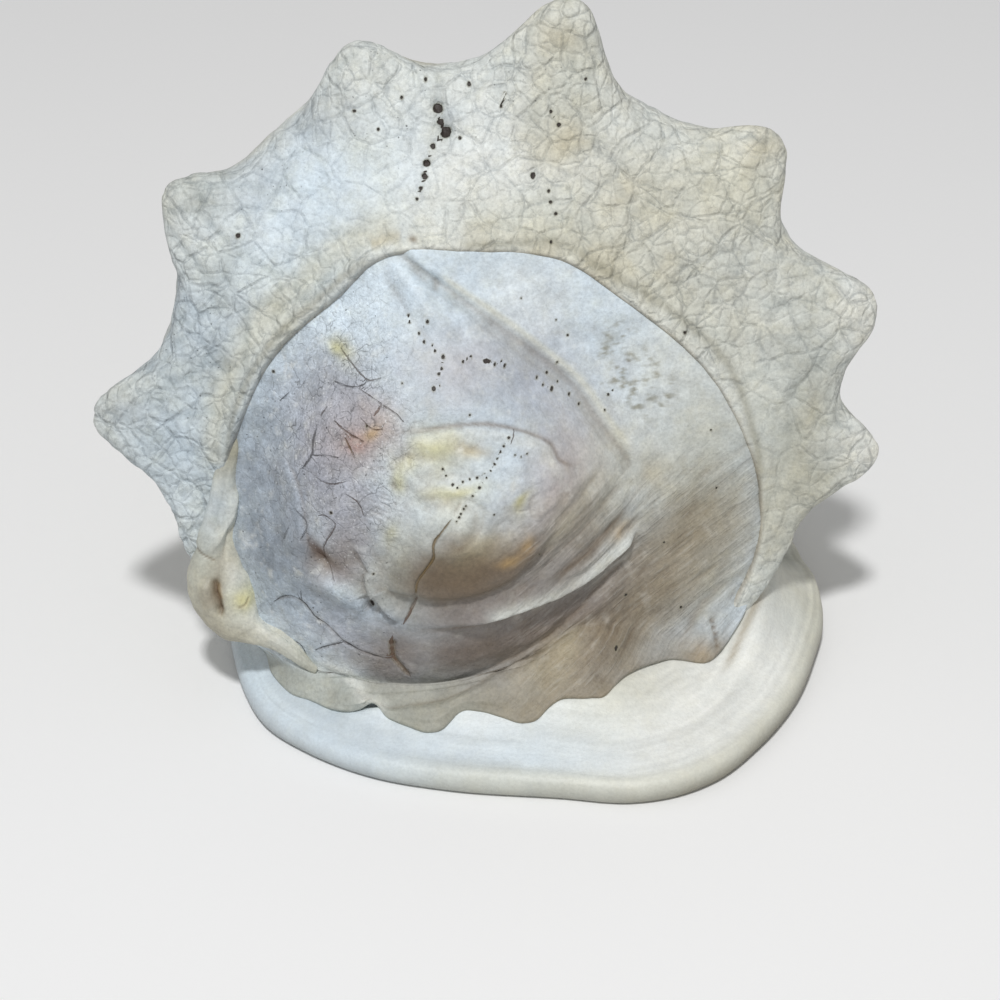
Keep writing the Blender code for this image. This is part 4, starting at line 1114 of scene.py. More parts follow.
earStrokes = [
    # the pinched slit, and the valley that leads down to it
    {"line": [(-73.4, 41), (-72.6, 37.5), (-71.9, 34.9), (-71, 30.2)],
     "profile": [(-6.5, 0), (-3.4, 0.6), (-1.6, -0.3), (-0.5, -1.6), (0, -2.6), (0.4, -1.8), (1.0, 0.4),
                 (2.4, 1.1), (6, 0)],
     "fade": (3, 3)},
    {"line": [(-66.8, 56), (-69, 49.5), (-71.8, 43.3), (-73, 38)],
     "profile": [(-5, 0), (-1.8, -0.9), (0, -1.7), (1.8, -0.9), (4.5, 0)], "fade": (5, 2)},
    # two thin ridges with a smooth facet between them, and the crease where they meet
    {"line": [(-69.5, 73), (-72.1, 62.8), (-74.7, 54.2), (-77.1, 46.5)],
     "profile": [(-2.4, 0), (-0.8, 0.6), (0, 0.9), (0.9, 0.4), (2.2, 0)], "fade": (6, 2)},
    {"line": [(-66.2, 64), (-67.4, 56.5), (-70.6, 50.7), (-74.3, 46.4)],
     "profile": [(-2.2, 0), (-0.7, 0.5), (0, 0.9), (0.7, 0.6), (2.2, 0)], "fade": (4, 2)},
    {"line": [(-68.2, 66), (-70, 58), (-73.2, 51)],
     "profile": [(-2.6, 0), (-1, -0.8), (0, -1.0), (1, -0.8), (2.6, 0)], "fade": (5, 3)},
    {"line": upperNick,
     "profile": [(-1.4, 0), (-0.5, 0.15), (0, -0.5), (0.5, 0.15), (1.4, 0)], "fade": (0.5, 1)},
    {"line": lowerNick,
     "profile": [(-1.2, 0), (-0.4, 0.15), (0, -0.4), (0.4, 0.15), (1.2, 0)], "fade": (1, 1)},
    # long ridges of the fold
    {"line": [(-63, 29.5), (-58.5, 26.5), (-54, 24.5), (-49.5, 21), (-44.5, 17.8), (-40, 16.8)],
     "profile": [(-3.5, 0), (-1.4, -0.5), (-0.4, 0.3), (0.5, 0.6), (2, 0.2), (4, 0)], "fade": (5, 8)},
    {"line": [(-60, 23), (-54, 21), (-48, 17.6), (-42, 15.5)],
     "profile": [(-2.5, 0), (-0.8, 0.4), (0, 0.1), (0.8, -0.4), (2.5, 0)], "fade": (6, 6)},
]

earBlots = [
    # (-67.8, 75) olive: painted shade where the ear's top meets the spire
    (-72, 57, 7, 1.8, 75, 0.8, "coolWhite"), (-67.8, 75, 5, 1.8, 80, 0.8, "olive"),
    (-67, 50, 4, 1.6, 80, 0.6, "beige"), (-76, 38, 7, 1.6, 80, 0.5, "cream"),
    (-66, 40, 5, 1.4, 80, 0.6, "bone"), (-64.6, 36, 3.2, 1.2, 0, 0.85, "yellow"),
    (-71, 24, 6, 1.6, -30, 0.4, "tan"), (-60, 29, 4, 1.6, -35, 0.7, "warmWhite"),
    (-52, 23, 4, 1.8, -40, 0.6, "warmWhite"), (-46, 17, 5, 1.6, -30, 0.5, "beige"),
    (-50, 20, 5, 1.6, -40, 0.6, "greyGreen"), (-73.6, 37, 2.6, 1.9, 80, 0.6, "umber"),
    (-76, 46, 5, 1.6, 80, 0.5, "greyGreen"), (-70, 44, 3.5, 1.5, 60, 0.4, "tan"),
]

earMarks = [
    {"line": [(-73.4, 40.5), (-72.6, 37.5), (-71.9, 34.9), (-71, 30.4)], "width": 0.34, "strength": 1.0,
     "tone": "darkBrown",
     "fade": (2.5, 3.5)},
    {"line": [(-73.6, 42), (-72.8, 37.5), (-72.1, 34.5), (-71, 30)], "offset": -0.5, "width": 1.2,
     "strength": 0.55, "tone": "umber",
     "fade": (3, 4)},
    {"line": [(-73.4, 40), (-72.6, 37), (-72, 35)], "offset": -1.3, "width": 0.8, "strength": 0.35,
     "tone": "orange", "fade": (1, 1)},
    {"line": upperNick, "width": 0.3, "strength": 0.35, "tone": "umber", "fade": (0.5, 1)},
    {"line": lowerNick, "width": 0.3, "strength": 0.35, "tone": "umber", "fade": (1, 1)},
    {"line": [(-62, 22), (-56, 20.5), (-50, 17.5), (-44, 15)], "width": 1.6, "strength": 0.5,
     "tone": "olive"},
]


def paintEar(rows, lift):
    place = wavered(rows[..., [0, 2]], rows, 1.4, 7)
    colour = tone("beige") + 0 * rows
    colour = blotted(colour, place, earBlots)
    colour = brushed(colour, rows[..., [0, 2]], earMarks)
    colour = colour * (1 + 0.05 * layeredNoise(rows, 4, 111))[..., None]
    # painted shade: umber in the hollows of the relief
    hollow = np.clip(hollowShadeDepth(lift) / 0.5, 0, 1)
    colour = toned(colour, "umber", 0.45 * hollow)
    rough = 0.42 + 0.06 * layeredNoise(rows, 8, 112)
    finish = np.stack([0 * rough, 0.05 + 0 * rough, 0.12 + 0 * rough], axis=-1)
    return {"tint": coated(colour, rough), "finish": finish}


def shapeEar():
    stations = earFold["stations"]
    knots = np.array([[*outer, *inner, stands, 0, 0] for outer, inner, stands in stations]).reshape(-1, 3, 3)
    path = throughRings(knots, [earFold["stationRows"]] * (len(knots) - 1))
    outer, inner, stands = path[:, 0], path[:, 1], path[:, 2, :1]
    turn = -np.arange(earFold["columns"]) * 2 * math.pi / earFold["columns"]
    power = 2 / earFold["squareness"]
    across = -np.sign(np.cos(turn)) * np.abs(np.cos(turn)) ** power
    rise = np.sign(np.sin(turn)) * np.abs(np.sin(turn)) ** power
    up = np.array(earFold["standsTo"])
    back = np.linspace(*earFold["back"], len(path))[:, None]
    middle, half = (outer + inner)[:, None] / 2, (inner - outer)[:, None] / 2
    height = np.where(rise > 0, stands * rise, back * rise)
    rows = middle + half * across[None, :, None] * np.where(rise > 0, 1.0, 0.9)[None, :, None]
    rows = rows + height[..., None] * up
    front = smoothStep(0.05, 0.5, rise)[None, :]
    lift = np.zeros(rows.shape[:2])
    for feature in earStrokes:
        lift += stroke(rows[..., [0, 2]], feature) * front
    lift += 0.45 * layeredNoise(rows, 7, 71) + 0.2 * layeredNoise(rows, 2.6, 72)
    lift *= smoothStep(0, 14, np.arange(len(rows)))[:, None]
    painted = paintEar(rows, lift)
    rows = slip(rows, lift)
    return newLattice("earFold", rows, tuple(rows[0].mean(axis=0)), tuple(rows[-1].mean(axis=0)), painted)


# Shield and outer lip with the narrow mouth, and the hollow behind it
lipPiece = {
    "columns": 560,
    "ledgeRows": 40,
    "rimRows": 10,
    "faceRows": 34,
    "mouth": (19.0, 16.0),
    "mouthHalf": (9.0, 84.0),
    "slotPower": 2.5,
    "wall": 6.0,
    "columella": 15.0,
    "rimRound": 2.6,
    "underWhorls": 1.35,  # how far the ledge runs in, as a share of its foot
    "plunge": 12.0,
    "sheetDip": 5.5,
    "rimBulge": 2.7,
    "hollowLead": 22.0,
    "hollowRings": 5,
    "wallRows": [3, 3, 4, 6, 7, 3, 3, 3, 3],
    "flatWidth": 9.0,
    "dish": 2.6,
    "edgeHeight": 3.2,
    "hollowTurn": (102.0, 10.0),
    "hollowY": (-24.0, 84.0),
    "teeth": [(-38, 1.3), (-24, 1.8), (-9, 2.1), (7, 2.3), (23, 2.2), (39, 1.9), (54, 1.3)],
    "toothWidth": 3.0,
    "folds": [(-52, 0.6), (-44, 0.8), (-36, 1.0), (-27, 1.1), (-19, 1.2), (-10, 1.0), (-2, 1.2), (6, 1.1),
              (14, 1.3), (22, 1.2), (31, 1.1), (39, 1.0), (48, 0.9), (58, 0.7)],
    "foldWidth": 1.7,
}


def slotEdge(angle, halfWidth, halfLength, centre):
    # outline of the mouth, one point for each angle round the shield
    along = -np.cos(np.radians(angle))
    side = np.sign(np.sin(np.radians(angle)))
    power = lipPiece["slotPower"]
    across = side * (1 - np.abs(along) ** power) ** (1 / power)
    return centre[0] + halfWidth * across, centre[1] + halfLength * along, across


# The band where the last whorl runs out on the ledge, seen from above (x, y), and its dark front crease
runOut = {"line": [(90, -4), (88.5, -14), (84, -27), (78.5, -39), (72, -52), (66.5, -61.5), (60.7, -71)],
          "profile": [(-5, 0), (-1, 0.5), (2, 1.5), (6, 2.6), (10, 2.8), (17, 1.6), (26, 0)], "fade": (8, 14)}
runOutCrease = {"line": [(67.5, -54), (63.8, -62.5), (60.5, -69.5), (57.3, -76)],
                "profile": [(-4, 0), (-1.6, 0.2), (0, -0.55), (1.6, 0.2), (4, 0)], "fade": (5, 6)}

# Stains, and a patch of painted shade below the sheet, seen from above: x, y, radius, stretch, lean,
# strength, tone
ledgeBlots = [
    (-60, -74, 20, 2.2, -50, 0.85, "sky"), (-30, -98, 16, 2.2, -20, 0.8, "coolWhite"),
    (-52, -86, 10, 2.4, -42, 0.5, "bright"), (12, -104, 18, 2.0, 5, 0.8, "ice"),
    (52, -92, 20, 1.6, 30, 0.8, "bright"), (76, -64, 20, 1.4, 60, 0.85, "bright"),
    # (33, -82) cream: painted shade on the ledge below the sheet
    (86, -34, 12, 1.5, 80, 0.7, "cream"), (33, -82, 9, 2.0, 30, 0.6, "cream"),
    (80, -47, 7, 1.6, 60, 0.5, "bone"), (-46, -84, 7, 2.4, -38, 0.5, "blueGrey"),
]


def paintLip(rows, lift, index, ledgeEnd, slotRow, inset, lines, band, onBand):
    place = wavered(rows[..., :2], rows, 3.0, 14)
    colour = tone("bright") + 0 * rows
    colour = blotted(colour, place, ledgeBlots)
    left = smoothStep(0, -40, rows[..., 0])[..., None]
    rimTone = tone("cream") * (1 - left) + tone("ice") * left
    rimShare = np.exp(-((np.clip(inset - 1.0, 0, None) / 3.2) ** 2)) * (index < ledgeEnd + 4)
    edgeShare = smoothStep(ledgeEnd - 9, ledgeEnd - 3, index)
    colour = colour + (rimTone - colour) * (0.6 * rimShare)[..., None]
    # painted shade in olive on the rim's outer edge, strongest on the right
    right = smoothStep(20, 75, rows[..., 0])
    rimSide = 0.3 + 0.05 * left[..., 0] + 0.7 * right
    colour = toned(colour, "olive", rimSide * edgeShare * (index < ledgeEnd + 4))
    # painted shadow on the ledge along the band where the whorl runs out
    shade = np.exp(-(((band - 6) / 7) ** 2)) * onBand
    colour = toned(colour, "greyGreen", 0.75 * shade)
    gap = np.exp(-(((band + 0.4) / 0.9) ** 2)) * smoothStep(-44, -50, rows[..., 1])
    gap = gap * smoothStep(-71, -64, rows[..., 1]) * (index < ledgeEnd)
    colour = toned(colour, "tan", 0.7 * gap)
    wander = inset + 1.6 * layeredNoise(rows, 24, 121)
    fine = grainNoise(inPlane(wander / 0.9, rows[..., 0] / 60), 1.0, 122)
    colour = colour * (1 + 0.07 * fine + 0.06 * lines)[..., None]
    # the underside: a cream glaze, apricot round the mouth, darker between the teeth: painted shade in rust
    # in the hollows
    under = smoothStep(ledgeEnd, ledgeEnd + 6, index)
    colour = toned(colour, "glaze", 0.9 * under)
    mouthSide = np.exp(-(((index - slotRow) / 11.0) ** 2))
    colour = toned(colour, "apricot", 0.75 * mouthSide * under)
    hollow = np.clip(hollowShadeDepth(lift, 6) / 0.5, 0, 1)
    colour = toned(colour, "rust", 0.5 * hollow * mouthSide)
    colour = colour * (1 + 0.04 * layeredNoise(rows, 9, 123))[..., None]
    inside = smoothStep(slotRow + 3, slotRow + 14, index)
    colour = toned(colour, "sand", 0.6 * inside)
    rough = 0.4 - 0.12 * under + 0.05 * layeredNoise(rows, 12, 124)
    finish = np.stack([0 * rough, 0.06 * (1 - under), 0.1 * (1 - under)], axis=-1)
    return {"tint": coated(colour, rough), "finish": finish}


def shapeLip():
    angle = (np.arange(lipPiece["columns"]) + 0.5) * 360 / lipPiece["columns"]
    turn = np.radians(angle)
    middleX, middleY = shieldShape["middle"]
    rim = aroundCurve(shieldShape["rim"], angle)
    foot = aroundCurve(shieldShape["foot"], angle, 1)
    thick = shieldShape["thick"] + shieldShape["lipBead"] * lipSide(angle)

    def ring(inset, z):
        radius = np.maximum(rim - inset, 0)
        x, y = middleX + radius * np.sin(turn), middleY - radius * np.cos(turn)
        return np.stack([x, y, z + 0 * turn], axis=-1)

    rows = []
    # the ledge, from under the whorls out to the rim
    rimRound = lipPiece["rimRound"]
    for share in np.linspace(lipPiece["underWhorls"], 0, lipPiece["ledgeRows"], endpoint=False):
        inset = rimRound + (foot - rimRound) * share ** 1.05
        level = ring(inset, 0)
        level[:, 2] = ledgeHeight(level[:, 0], level[:, 1]) - lipPiece["plunge"] * max(share - 1, 0)
        level[:, 2] -= lipPiece["sheetDip"] * underSheet(level[:, 0], level[:, 1])
        rows.append(level)
    # round the rim, in a smooth half turn
    for step in np.linspace(0, 1, lipPiece["rimRows"]):
        bend = math.pi * step
        inset = lipPiece["rimBulge"] * (1 - math.sin(bend)) - 0.1
        z = floorHeight + (thick - floorHeight) * (0.5 + 0.5 * math.cos(bend))
        rows.append(ring(inset, z))
    ledgeEnd = len(rows)
    # the flat face and the hollowed shield, in to the mouth
    mouthX, mouthY = lipPiece["mouth"]
    halfWidth, halfLength = lipPiece["mouthHalf"]
    edgeX, edgeY, across = slotEdge(angle, halfWidth, halfLength, (mouthX, mouthY))
    flat = ring(lipPiece["flatWidth"], floorHeight)
    edge = np.stack([edgeX, edgeY, lipPiece["edgeHeight"] + 0 * turn], axis=-1)
    for step in np.linspace(0, 1, 5)[1:]:
        rows.append(ring(rimRound + (lipPiece["flatWidth"] - rimRound) * step, floorHeight))
    for step in np.linspace(0, 1, lipPiece["faceRows"])[1:]:
        row = flat + (edge - flat) * step
        row[:, 2] = floorHeight + lipPiece["dish"] * math.sin(min(step * 1.35, 1) * math.pi / 2) ** 2
        rows.append(row)
    faceEnd = len(rows)
    # the mouth's walls
    throat = [(5.0, 0, 0.4, 0, 0), (8.0, 0.5, 1.2, 1, -1), (16.0, 4, 4, 8, -4), (32.0, 15, 16, 22, -14)]
    knots = [edge]
    for z, shift, wider, back, forward in throat:
        centreY = mouthY + (back + forward) / 2
        half = halfLength + (forward - back) / 2
        x, y, share = slotEdge(angle, halfWidth + wider, half, (mouthX + shift, centreY))
        forwardShare = np.clip(-np.cos(turn), 0, 1)
        x = mouthX + shift + (x - mouthX - shift) * (1 - 0.55 * forwardShare**2 * (z > 10))
        knots.append(np.stack([x, y, z + 0 * turn], axis=-1))
    # the hollow that winds on round the columella
    stations = np.array(coil["flank"])
    start, end = lipPiece["hollowTurn"]
    backY, frontY = lipPiece["hollowY"]
    for clockAngle in np.linspace(start - lipPiece["hollowLead"], end, lipPiece["hollowRings"]):
        bend = math.radians(clockAngle)
        y = (backY + frontY) / 2 - (frontY - backY) / 2 * np.cos(turn)
        share = (np.interp(y, stations[:, 0], stations[:, 3]) * math.cos(bend) ** 2
                 + np.interp(y, stations[:, 0], stations[:, 4]) * math.sin(bend) ** 2)
        outer = aroundCurve(coil["shoulder"], [clockAngle])[0] * share - lipPiece["wall"] - 1.5
        inner = np.minimum(lipPiece["columella"], outer - 4)
        radius = (outer + inner) / 2 + (outer - inner) / 2 * across
        x = np.interp(y, stations[:, 0], stations[:, 2]) + radius * math.sin(bend)
        z = np.interp(y, stations[:, 0], stations[:, 1]) + radius * math.cos(bend)
        knots.append(np.stack([x, y, z], axis=-1))
    walls = throughRings(knots, lipPiece["wallRows"])[1:]
    end = walls[-1].mean(axis=0)
    rows = np.concatenate([np.array(rows), walls])
    lift = np.zeros(rows.shape[:2])
    index = np.arange(len(rows))[:, None] + 0 * rows[..., 0]

    # growth lines that follow the rim, on the ledge
    reach = np.hypot(rows[..., 0] - middleX, rows[..., 1] - middleY)
    inset = rim - reach
    lines = grainNoise(inPlane((inset + 1.2 * layeredNoise(rows, 30, 51)) / 1.5, angle / 40), 1.0, 52)
    onLedge = smoothStep(ledgeEnd - 4, ledgeEnd - 8, index)
    lift += 0.16 * lines * onLedge + 0.5 * layeredNoise(rows, 26, 53) * onLedge
    lift += 0.1 * layeredNoise(rows, 5, 54) * onLedge
    above = rows[..., :2]
    lift += (stroke(above, runOut) + stroke(above, runOutCrease)) * onLedge
    band, along, length = acrossLine(above, runOut["line"])
    sway = band + 0.9 * layeredNoise(rows, 11, 57)
    threads = grainNoise(inPlane(sway / 1.2, along * length / 22), 1.0, 58)
    ends = smoothStep(0, 8, along * length) * smoothStep(length, length - 14, along * length)
    onBand = smoothStep(-1.5, 2, band) * smoothStep(24, 14, band) * ends * onLedge
    lift += 0.3 * threads * onBand
    # teeth inside the outer lip, folds on the columella side
    outerSide = smoothStep(0.35, 0.75, across)[None, :] + 0 * inset
    innerSide = smoothStep(-0.35, -0.75, across)[None, :] + 0 * inset
    slotRow = faceEnd - 1
    nearEdge = np.where(index <= slotRow, np.exp(-((index - slotRow) / 5.5) ** 2),
                        np.exp(-((index - slotRow) / 5.0) ** 2))
    for y, height in lipPiece["teeth"]:
        ridge = np.exp(-(((rows[..., 1] - y) / lipPiece["toothWidth"]) ** 2))
        lift += height * ridge * nearEdge * outerSide
    nearFold = np.where(index <= slotRow, np.exp(-((index - slotRow) / 8.0) ** 2),
                        np.exp(-((index - slotRow) / 7.0) ** 2))
    for y, height in lipPiece["folds"]:
        slant = rows[..., 1] - y + 0.12 * (rows[..., 0] - mouthX) + 1.2 * layeredNoise(rows, 9, 55)
        lift += height * np.exp(-((slant / lipPiece["foldWidth"]) ** 2)) * nearFold * innerSide
    under = smoothStep(ledgeEnd + 1, ledgeEnd + 8, index)
    lift += 0.25 * layeredNoise(rows, 16, 56) * under * (index <= slotRow)
    painted = paintLip(rows, lift, index, ledgeEnd, slotRow, inset, lines, band, onBand)
    rows = slip(rows, lift)
    rows[..., 2] = np.where(index >= ledgeEnd - 2, np.maximum(rows[..., 2], floorHeight), rows[..., 2])
    return newLattice("lipAndShield", rows, (middleX, middleY, 20.0), tuple(end), painted)


# Siphonal canal, bent up behind the front of the mouth
canal = {
    # centre line and outer radius
    "path": [(8, 84, 27, 21), (6, 104, 23, 19.5), (4, 118, 25, 17), (3, 127, 35, 14.5), (1, 129, 48, 12.5),
             (-1, 126, 59, 11)],
    "bore": 0.5,
    "columns": 120,
}


def shapeCanal():
    path = softLine(canal["path"], 9)
    centre, radius = path[:, :3], path[:, 3]
    turn = np.arange(canal["columns"]) * 2 * math.pi / canal["columns"]
    ahead = np.gradient(centre, axis=0)
    ahead /= np.linalg.norm(ahead, axis=-1, keepdims=True)
    side = np.array([1.0, 0, 0]) - ahead * ahead[:, :1]
    side /= np.linalg.norm(side, axis=-1, keepdims=True)
    up = np.cross(side, ahead)

    def ring(i, scale, push=0.0):
        spoke = np.outer(np.cos(turn), side[i]) + np.outer(np.sin(turn), up[i])
        return centre[i] + ahead[i] * push + spoke * radius[i] * scale

    rows = [ring(i, 1.0) for i in range(len(path))]
    last = len(path) - 1
    bore = canal["bore"]
    for step in np.linspace(0, 1, 9)[1:]:
        bend = math.pi * step
        rows.append(ring(last, 1 - (1 - bore) * (0.5 - 0.5 * math.cos(bend)), 2.2 * math.sin(bend)))
    rim = len(rows)
    for i in range(last - 1, 8, -1):
        rows.append(ring(i, bore))
    rows = np.array(rows)[:, ::-1]
    run = np.cumsum(np.linalg.norm(np.diff(rows[:, 0], axis=0, prepend=rows[:1, 0]), axis=-1))
    outside = (np.arange(len(rows)) < rim - 3)[:, None]
    bands = grainNoise(inPlane(run[:, None] / 1.6, rows[..., 0] / 30), 1.0, 61)
    lift = (0.3 * bands + 0.5 * layeredNoise(rows, 9, 62)) * outside
    colour = tone("cream") + 0 * rows
    colour = toned(colour, "sand", 0.5 * smoothStep(0, 0.6, bands) * outside)
    colour = toned(colour, "glaze", 0.7 * (1 - outside))
    colour = colour * (1 + 0.05 * layeredNoise(rows, 6, 63))[..., None]
    rough = 0.5 + 0.06 * layeredNoise(rows, 9, 64)
    painted = {"tint": coated(colour, rough),
               "finish": np.stack([0 * rough, 0.3 * outside + 0 * rough, 0.6 * outside + 0 * rough], axis=-1)}
    rows = slip(rows, lift)
    return newLattice("siphonalCanal", rows, tuple(centre[0]), tuple(rows[-1].mean(axis=0)), painted)


pieces = [shapeSpire(), shapeBody(), shapeEar(), shapeLip(), shapeCanal()]
for piece in pieces:
    piece.data.shade_smooth()
    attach(piece, "root")
    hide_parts("shell")
    print(piece.name, len(piece.data.vertices), "points", len(piece.data.polygons), "faces")


class Wire:
    # a node's output that can be written in sums
    def __init__(self, tree, socket=None):
        self.tree = tree
        self.socket = socket

    def node(self, kind, settings=None, sockets=None, output=0):
        made = self.tree.nodes.new(kind)
        for name, value in (settings or {}).items():
            setattr(made, name, value)
        for name, value in (sockets or {}).items():
            if isinstance(value, Wire):
                self.tree.links.new(value.socket, made.inputs[name])
            else:
                made.inputs[name].default_value = value
        return Wire(self.tree, made.outputs[output])

    def math(self, operation, *values):
        return self.node("ShaderNodeMath", {"operation": operation}, dict(enumerate(values)))

    def __add__(self, other):
        return self.math("ADD", self, other)

    def __sub__(self, other):
        return self.math("SUBTRACT", self, other)

    def __rsub__(self, other):
        return self.math("SUBTRACT", other, self)

    def __mul__(self, other):
        return self.math("MULTIPLY", self, other)

    def __truediv__(self, other):
        return self.math("DIVIDE", self, other)

    __radd__ = __add__
    __rmul__ = __mul__

    def most(self, other):
        return self.math("MAXIMUM", self, other)

    def size(self):
        return self.math("ABSOLUTE", self)

    def root(self):
        return self.math("SQRT", self)

    def step(self, low, high):
        # 0 below low and 1 above high, smooth between; low may be the larger
        return self.node("ShaderNodeMapRange", {"interpolation_type": "SMOOTHSTEP"},
                         {"Value": self, "From Min": low, "From Max": high})

    def mixed(self, first, second, mode="MIX"):
        # colours, by this as the share of the second
        return self.node("ShaderNodeMix", {"data_type": "RGBA", "blend_type": mode},
                         {0: self, 6: first, 7: second}, 2)

    def vector(self, operation, *values, output=0):
        return self.node("ShaderNodeVectorMath", {"operation": operation}, dict(enumerate(values)), output)

    def scaled(self, share):
        # a colour made darker or lighter
        return self.node("ShaderNodeVectorMath", {"operation": "SCALE"}, {0: self, "Scale": share})

    def noise(self, grain, detail=3.0, roughness=0.55):
        # fine noise at these places (mm), about 0.5; grain: size of its lumps
        return self.node("ShaderNodeTexNoise", None,
                         {"Vector": self, "Scale": 1 / grain, "Detail": detail, "Roughness": roughness})

    def shaken(self, grain, amount):
        # places moved about by noise
        shake = self.node("ShaderNodeTexNoise", None, {"Vector": self, "Scale": 1 / grain, "Detail": 1.0}, 1)
        shake = self.vector("SUBTRACT", shake, (0.5, 0.5, 0.5))
        return self.vector("MULTIPLY_ADD", shake, (amount, amount, amount), self)

    def borders(self, grain):
        # distance from the borders of a net of cells, in mm
        found = self.node("ShaderNodeTexVoronoi", {"feature": "DISTANCE_TO_EDGE"},
                          {"Vector": self, "Scale": 1 / grain})
        return found * grain

    def dots(self, grain):
        # distance from scattered points in mm, and a number of each point's own
        found = self.node("ShaderNodeTexVoronoi", {"feature": "F1"}, {"Vector": self, "Scale": 1 / grain})
        own = Wire(self.tree, found.socket.node.outputs[1])
        return found * grain, self.node("ShaderNodeSeparateColor", None, {0: own}, 0)


def linear(name):
    return (*tone(name).tolist(), 1.0)


shellFinish = {
    # strengths of the fine pattern
    "mottle": 0.26,
    "grain": 0.34,
    "warmth": 0.5,
    "creaseDark": 0.42,
    "speckDark": 0.8,
    "netDark": 0.55,
    "glint": 0.55,
    "streak": 0.5,
    "relief": 1.0,
    # its colours, as light
    "warmCast": (1.03, 0.99, 0.88, 1.0),
    "coolCast": (0.96, 1.0, 1.05, 1.0),
    "creaseTone": (0.3, 0.33, 0.37, 1.0),
    "glintTone": (0.93, 0.95, 0.97, 1.0),
    "streakDark": (0.6, 0.56, 0.5, 1.0),
    "streakPale": (0.74, 0.73, 0.68, 1.0),
    "holeTone": (0.05, 0.04, 0.035, 1.0),
}


def bleachedShell(name, creases=False, whorls=False, clean=1.0):
    # weathered shell: painted tint, mottling, creases or net and streaks, specks, pits and cracks
    material = bpy.data.materials.new(name)
    material.use_nodes = True
    tree = material.node_tree
    wire = Wire(tree)

    def painted(label, output):
        return wire.node("ShaderNodeAttribute", {"attribute_name": label}, None, output)

    def split(vector):
        return [wire.node("ShaderNodeSeparateXYZ", None, {0: vector}, k) for k in range(3)]

    place = wire.vector("MULTIPLY_ADD", wire.node("ShaderNodeTexCoord", None, None, 3), (1000.0,) * 3,
                        tuple(float(-v) for v in toBox))
    first, speckGate, creaseGate = split(painted("finish", 1))

    # mottling, light and dark, warm and cool
    cloud = wire.node("ShaderNodeTexNoise", None,
                      {"Vector": place, "Scale": 1 / 5.0, "Detail": 4.0, "Roughness": 0.6}, 1)
    light, warm, patchy = split(cloud)
    grain = place.noise(0.9, 3.0, 0.7)
    warmth = 4 * shellFinish["warmth"] * clean
    mottle, grit = (2 * shellFinish[name] * clean for name in ("mottle", "grain"))
    shade = 1 + (light - 0.5) * mottle + (grain - 0.5) * grit
    colour = painted("tint", 0).scaled(shade)
    colour = ((warm - 0.5) * warmth).most(0.0).mixed(colour, shellFinish["warmCast"], "MULTIPLY")
    colour = ((0.5 - warm) * warmth).most(0.0).mixed(colour, shellFinish["coolCast"], "MULTIPLY")
    height = (grain - 0.5) * 0.2
    worn = patchy.step(0.36, 0.58)

    if creases:
        # leathery creases at three sizes
        loose = place.shaken(3.0, 1.3)
        wide, middling, fine = place.shaken(9.0, 4.0).borders(9.5), loose.borders(3.9), loose.borders(1.6)
        ragged = (grain - 0.5) * 0.4
        crumpled = creaseGate * worn
        wideLine = (wide + ragged).step(0.36, 0.04) * (creaseGate * 0.6 + 0.4)
        wideLine = wideLine * (0.35 + 0.65 * patchy.step(0.4, 0.55))
        middleLine = (middling + ragged).step(0.26, 0.02) * crumpled
        fineLine = (fine + ragged * 0.6).step(0.15, 0.01) * crumpled * warm.step(0.4, 0.6)
        dark = (wideLine * 0.95).most(middleLine * 0.8).most(fineLine * 0.6) * shellFinish["creaseDark"]
        colour = dark.mixed(colour, shellFinish["creaseTone"], "MULTIPLY")
        height = height - wide.step(0.9, 0.0) * 0.3 * (creaseGate * 0.5 + 0.5)
        height = height - middling.step(0.7, 0.0) * creaseGate * 0.22
        height = height + first * 0.06

    if whorls:
        # fine dark net, painted glints (pale specks of highlight) in it, and streaks to the lower left
        loose = place.shaken(2.4, 2.4)
        net = loose.borders(3.4)
        netLine = net.step(0.12, 0.02) * first * patchy.step(0.47, 0.6)
        colour = (netLine * shellFinish["netDark"]).mixed(colour, linear("ink"))
        height = height - net.step(0.3, 0.0) * first * 0.12
        fleck = place.noise(0.6, 2.0, 0.8)
        colour = colour.scaled(1 + (fleck - 0.52) * first * 1.1)
        height = height + (fleck - 0.5) * first * 0.2
        away, own = place.dots(0.95)
        glint = away.step(0.3, 0.1) * own.step(0.4, 0.5) * first * warm.step(0.46, 0.56)
        colour = (glint * shellFinish["glint"]).mixed(colour, shellFinish["glintTone"])
        x, _, z = split(place)
        long, broad = slanted(x, z, 31)
        streak = wire.node("ShaderNodeCombineXYZ", None, {0: long * 0.12, 1: broad, 2: 0.0})
        streak = streak.noise(1.1, 3.0, 0.65)
        dull = ((0.5 - streak) * creaseGate * 1.9).most(0.0)
        colour = dull.mixed(colour, shellFinish["streakDark"], "MULTIPLY")
        colour = ((streak - 0.55) * creaseGate * 1.4).most(0.0).mixed(colour, shellFinish["streakPale"])
        height = height + (streak - 0.5) * creaseGate * shellFinish["streak"]

    if creases or whorls:
        away, own = loose.dots(1.7)
        speck = away.step(0.3, 0.12) * own.step(0.5, 0.56) * speckGate * patchy.step(0.42, 0.52)
        colour = (speck * shellFinish["speckDark"]).mixed(colour, linear("ink"))
        acrossX, acrossZ, radius = split(painted("hole", 1))
        gap = (acrossX * acrossX + acrossZ * acrossZ).root() - radius + (grain - 0.5) * 0.5
        inHole = radius.step(0.1, 0.2)
        hole = gap.step(0.06, -0.16) * inHole
        colour = (gap.step(0.45, 0.0) * inHole * 0.6).mixed(colour, linear("olive"))
        colour = hole.mixed(colour, shellFinish["holeTone"])
        height = height - hole * 0.7

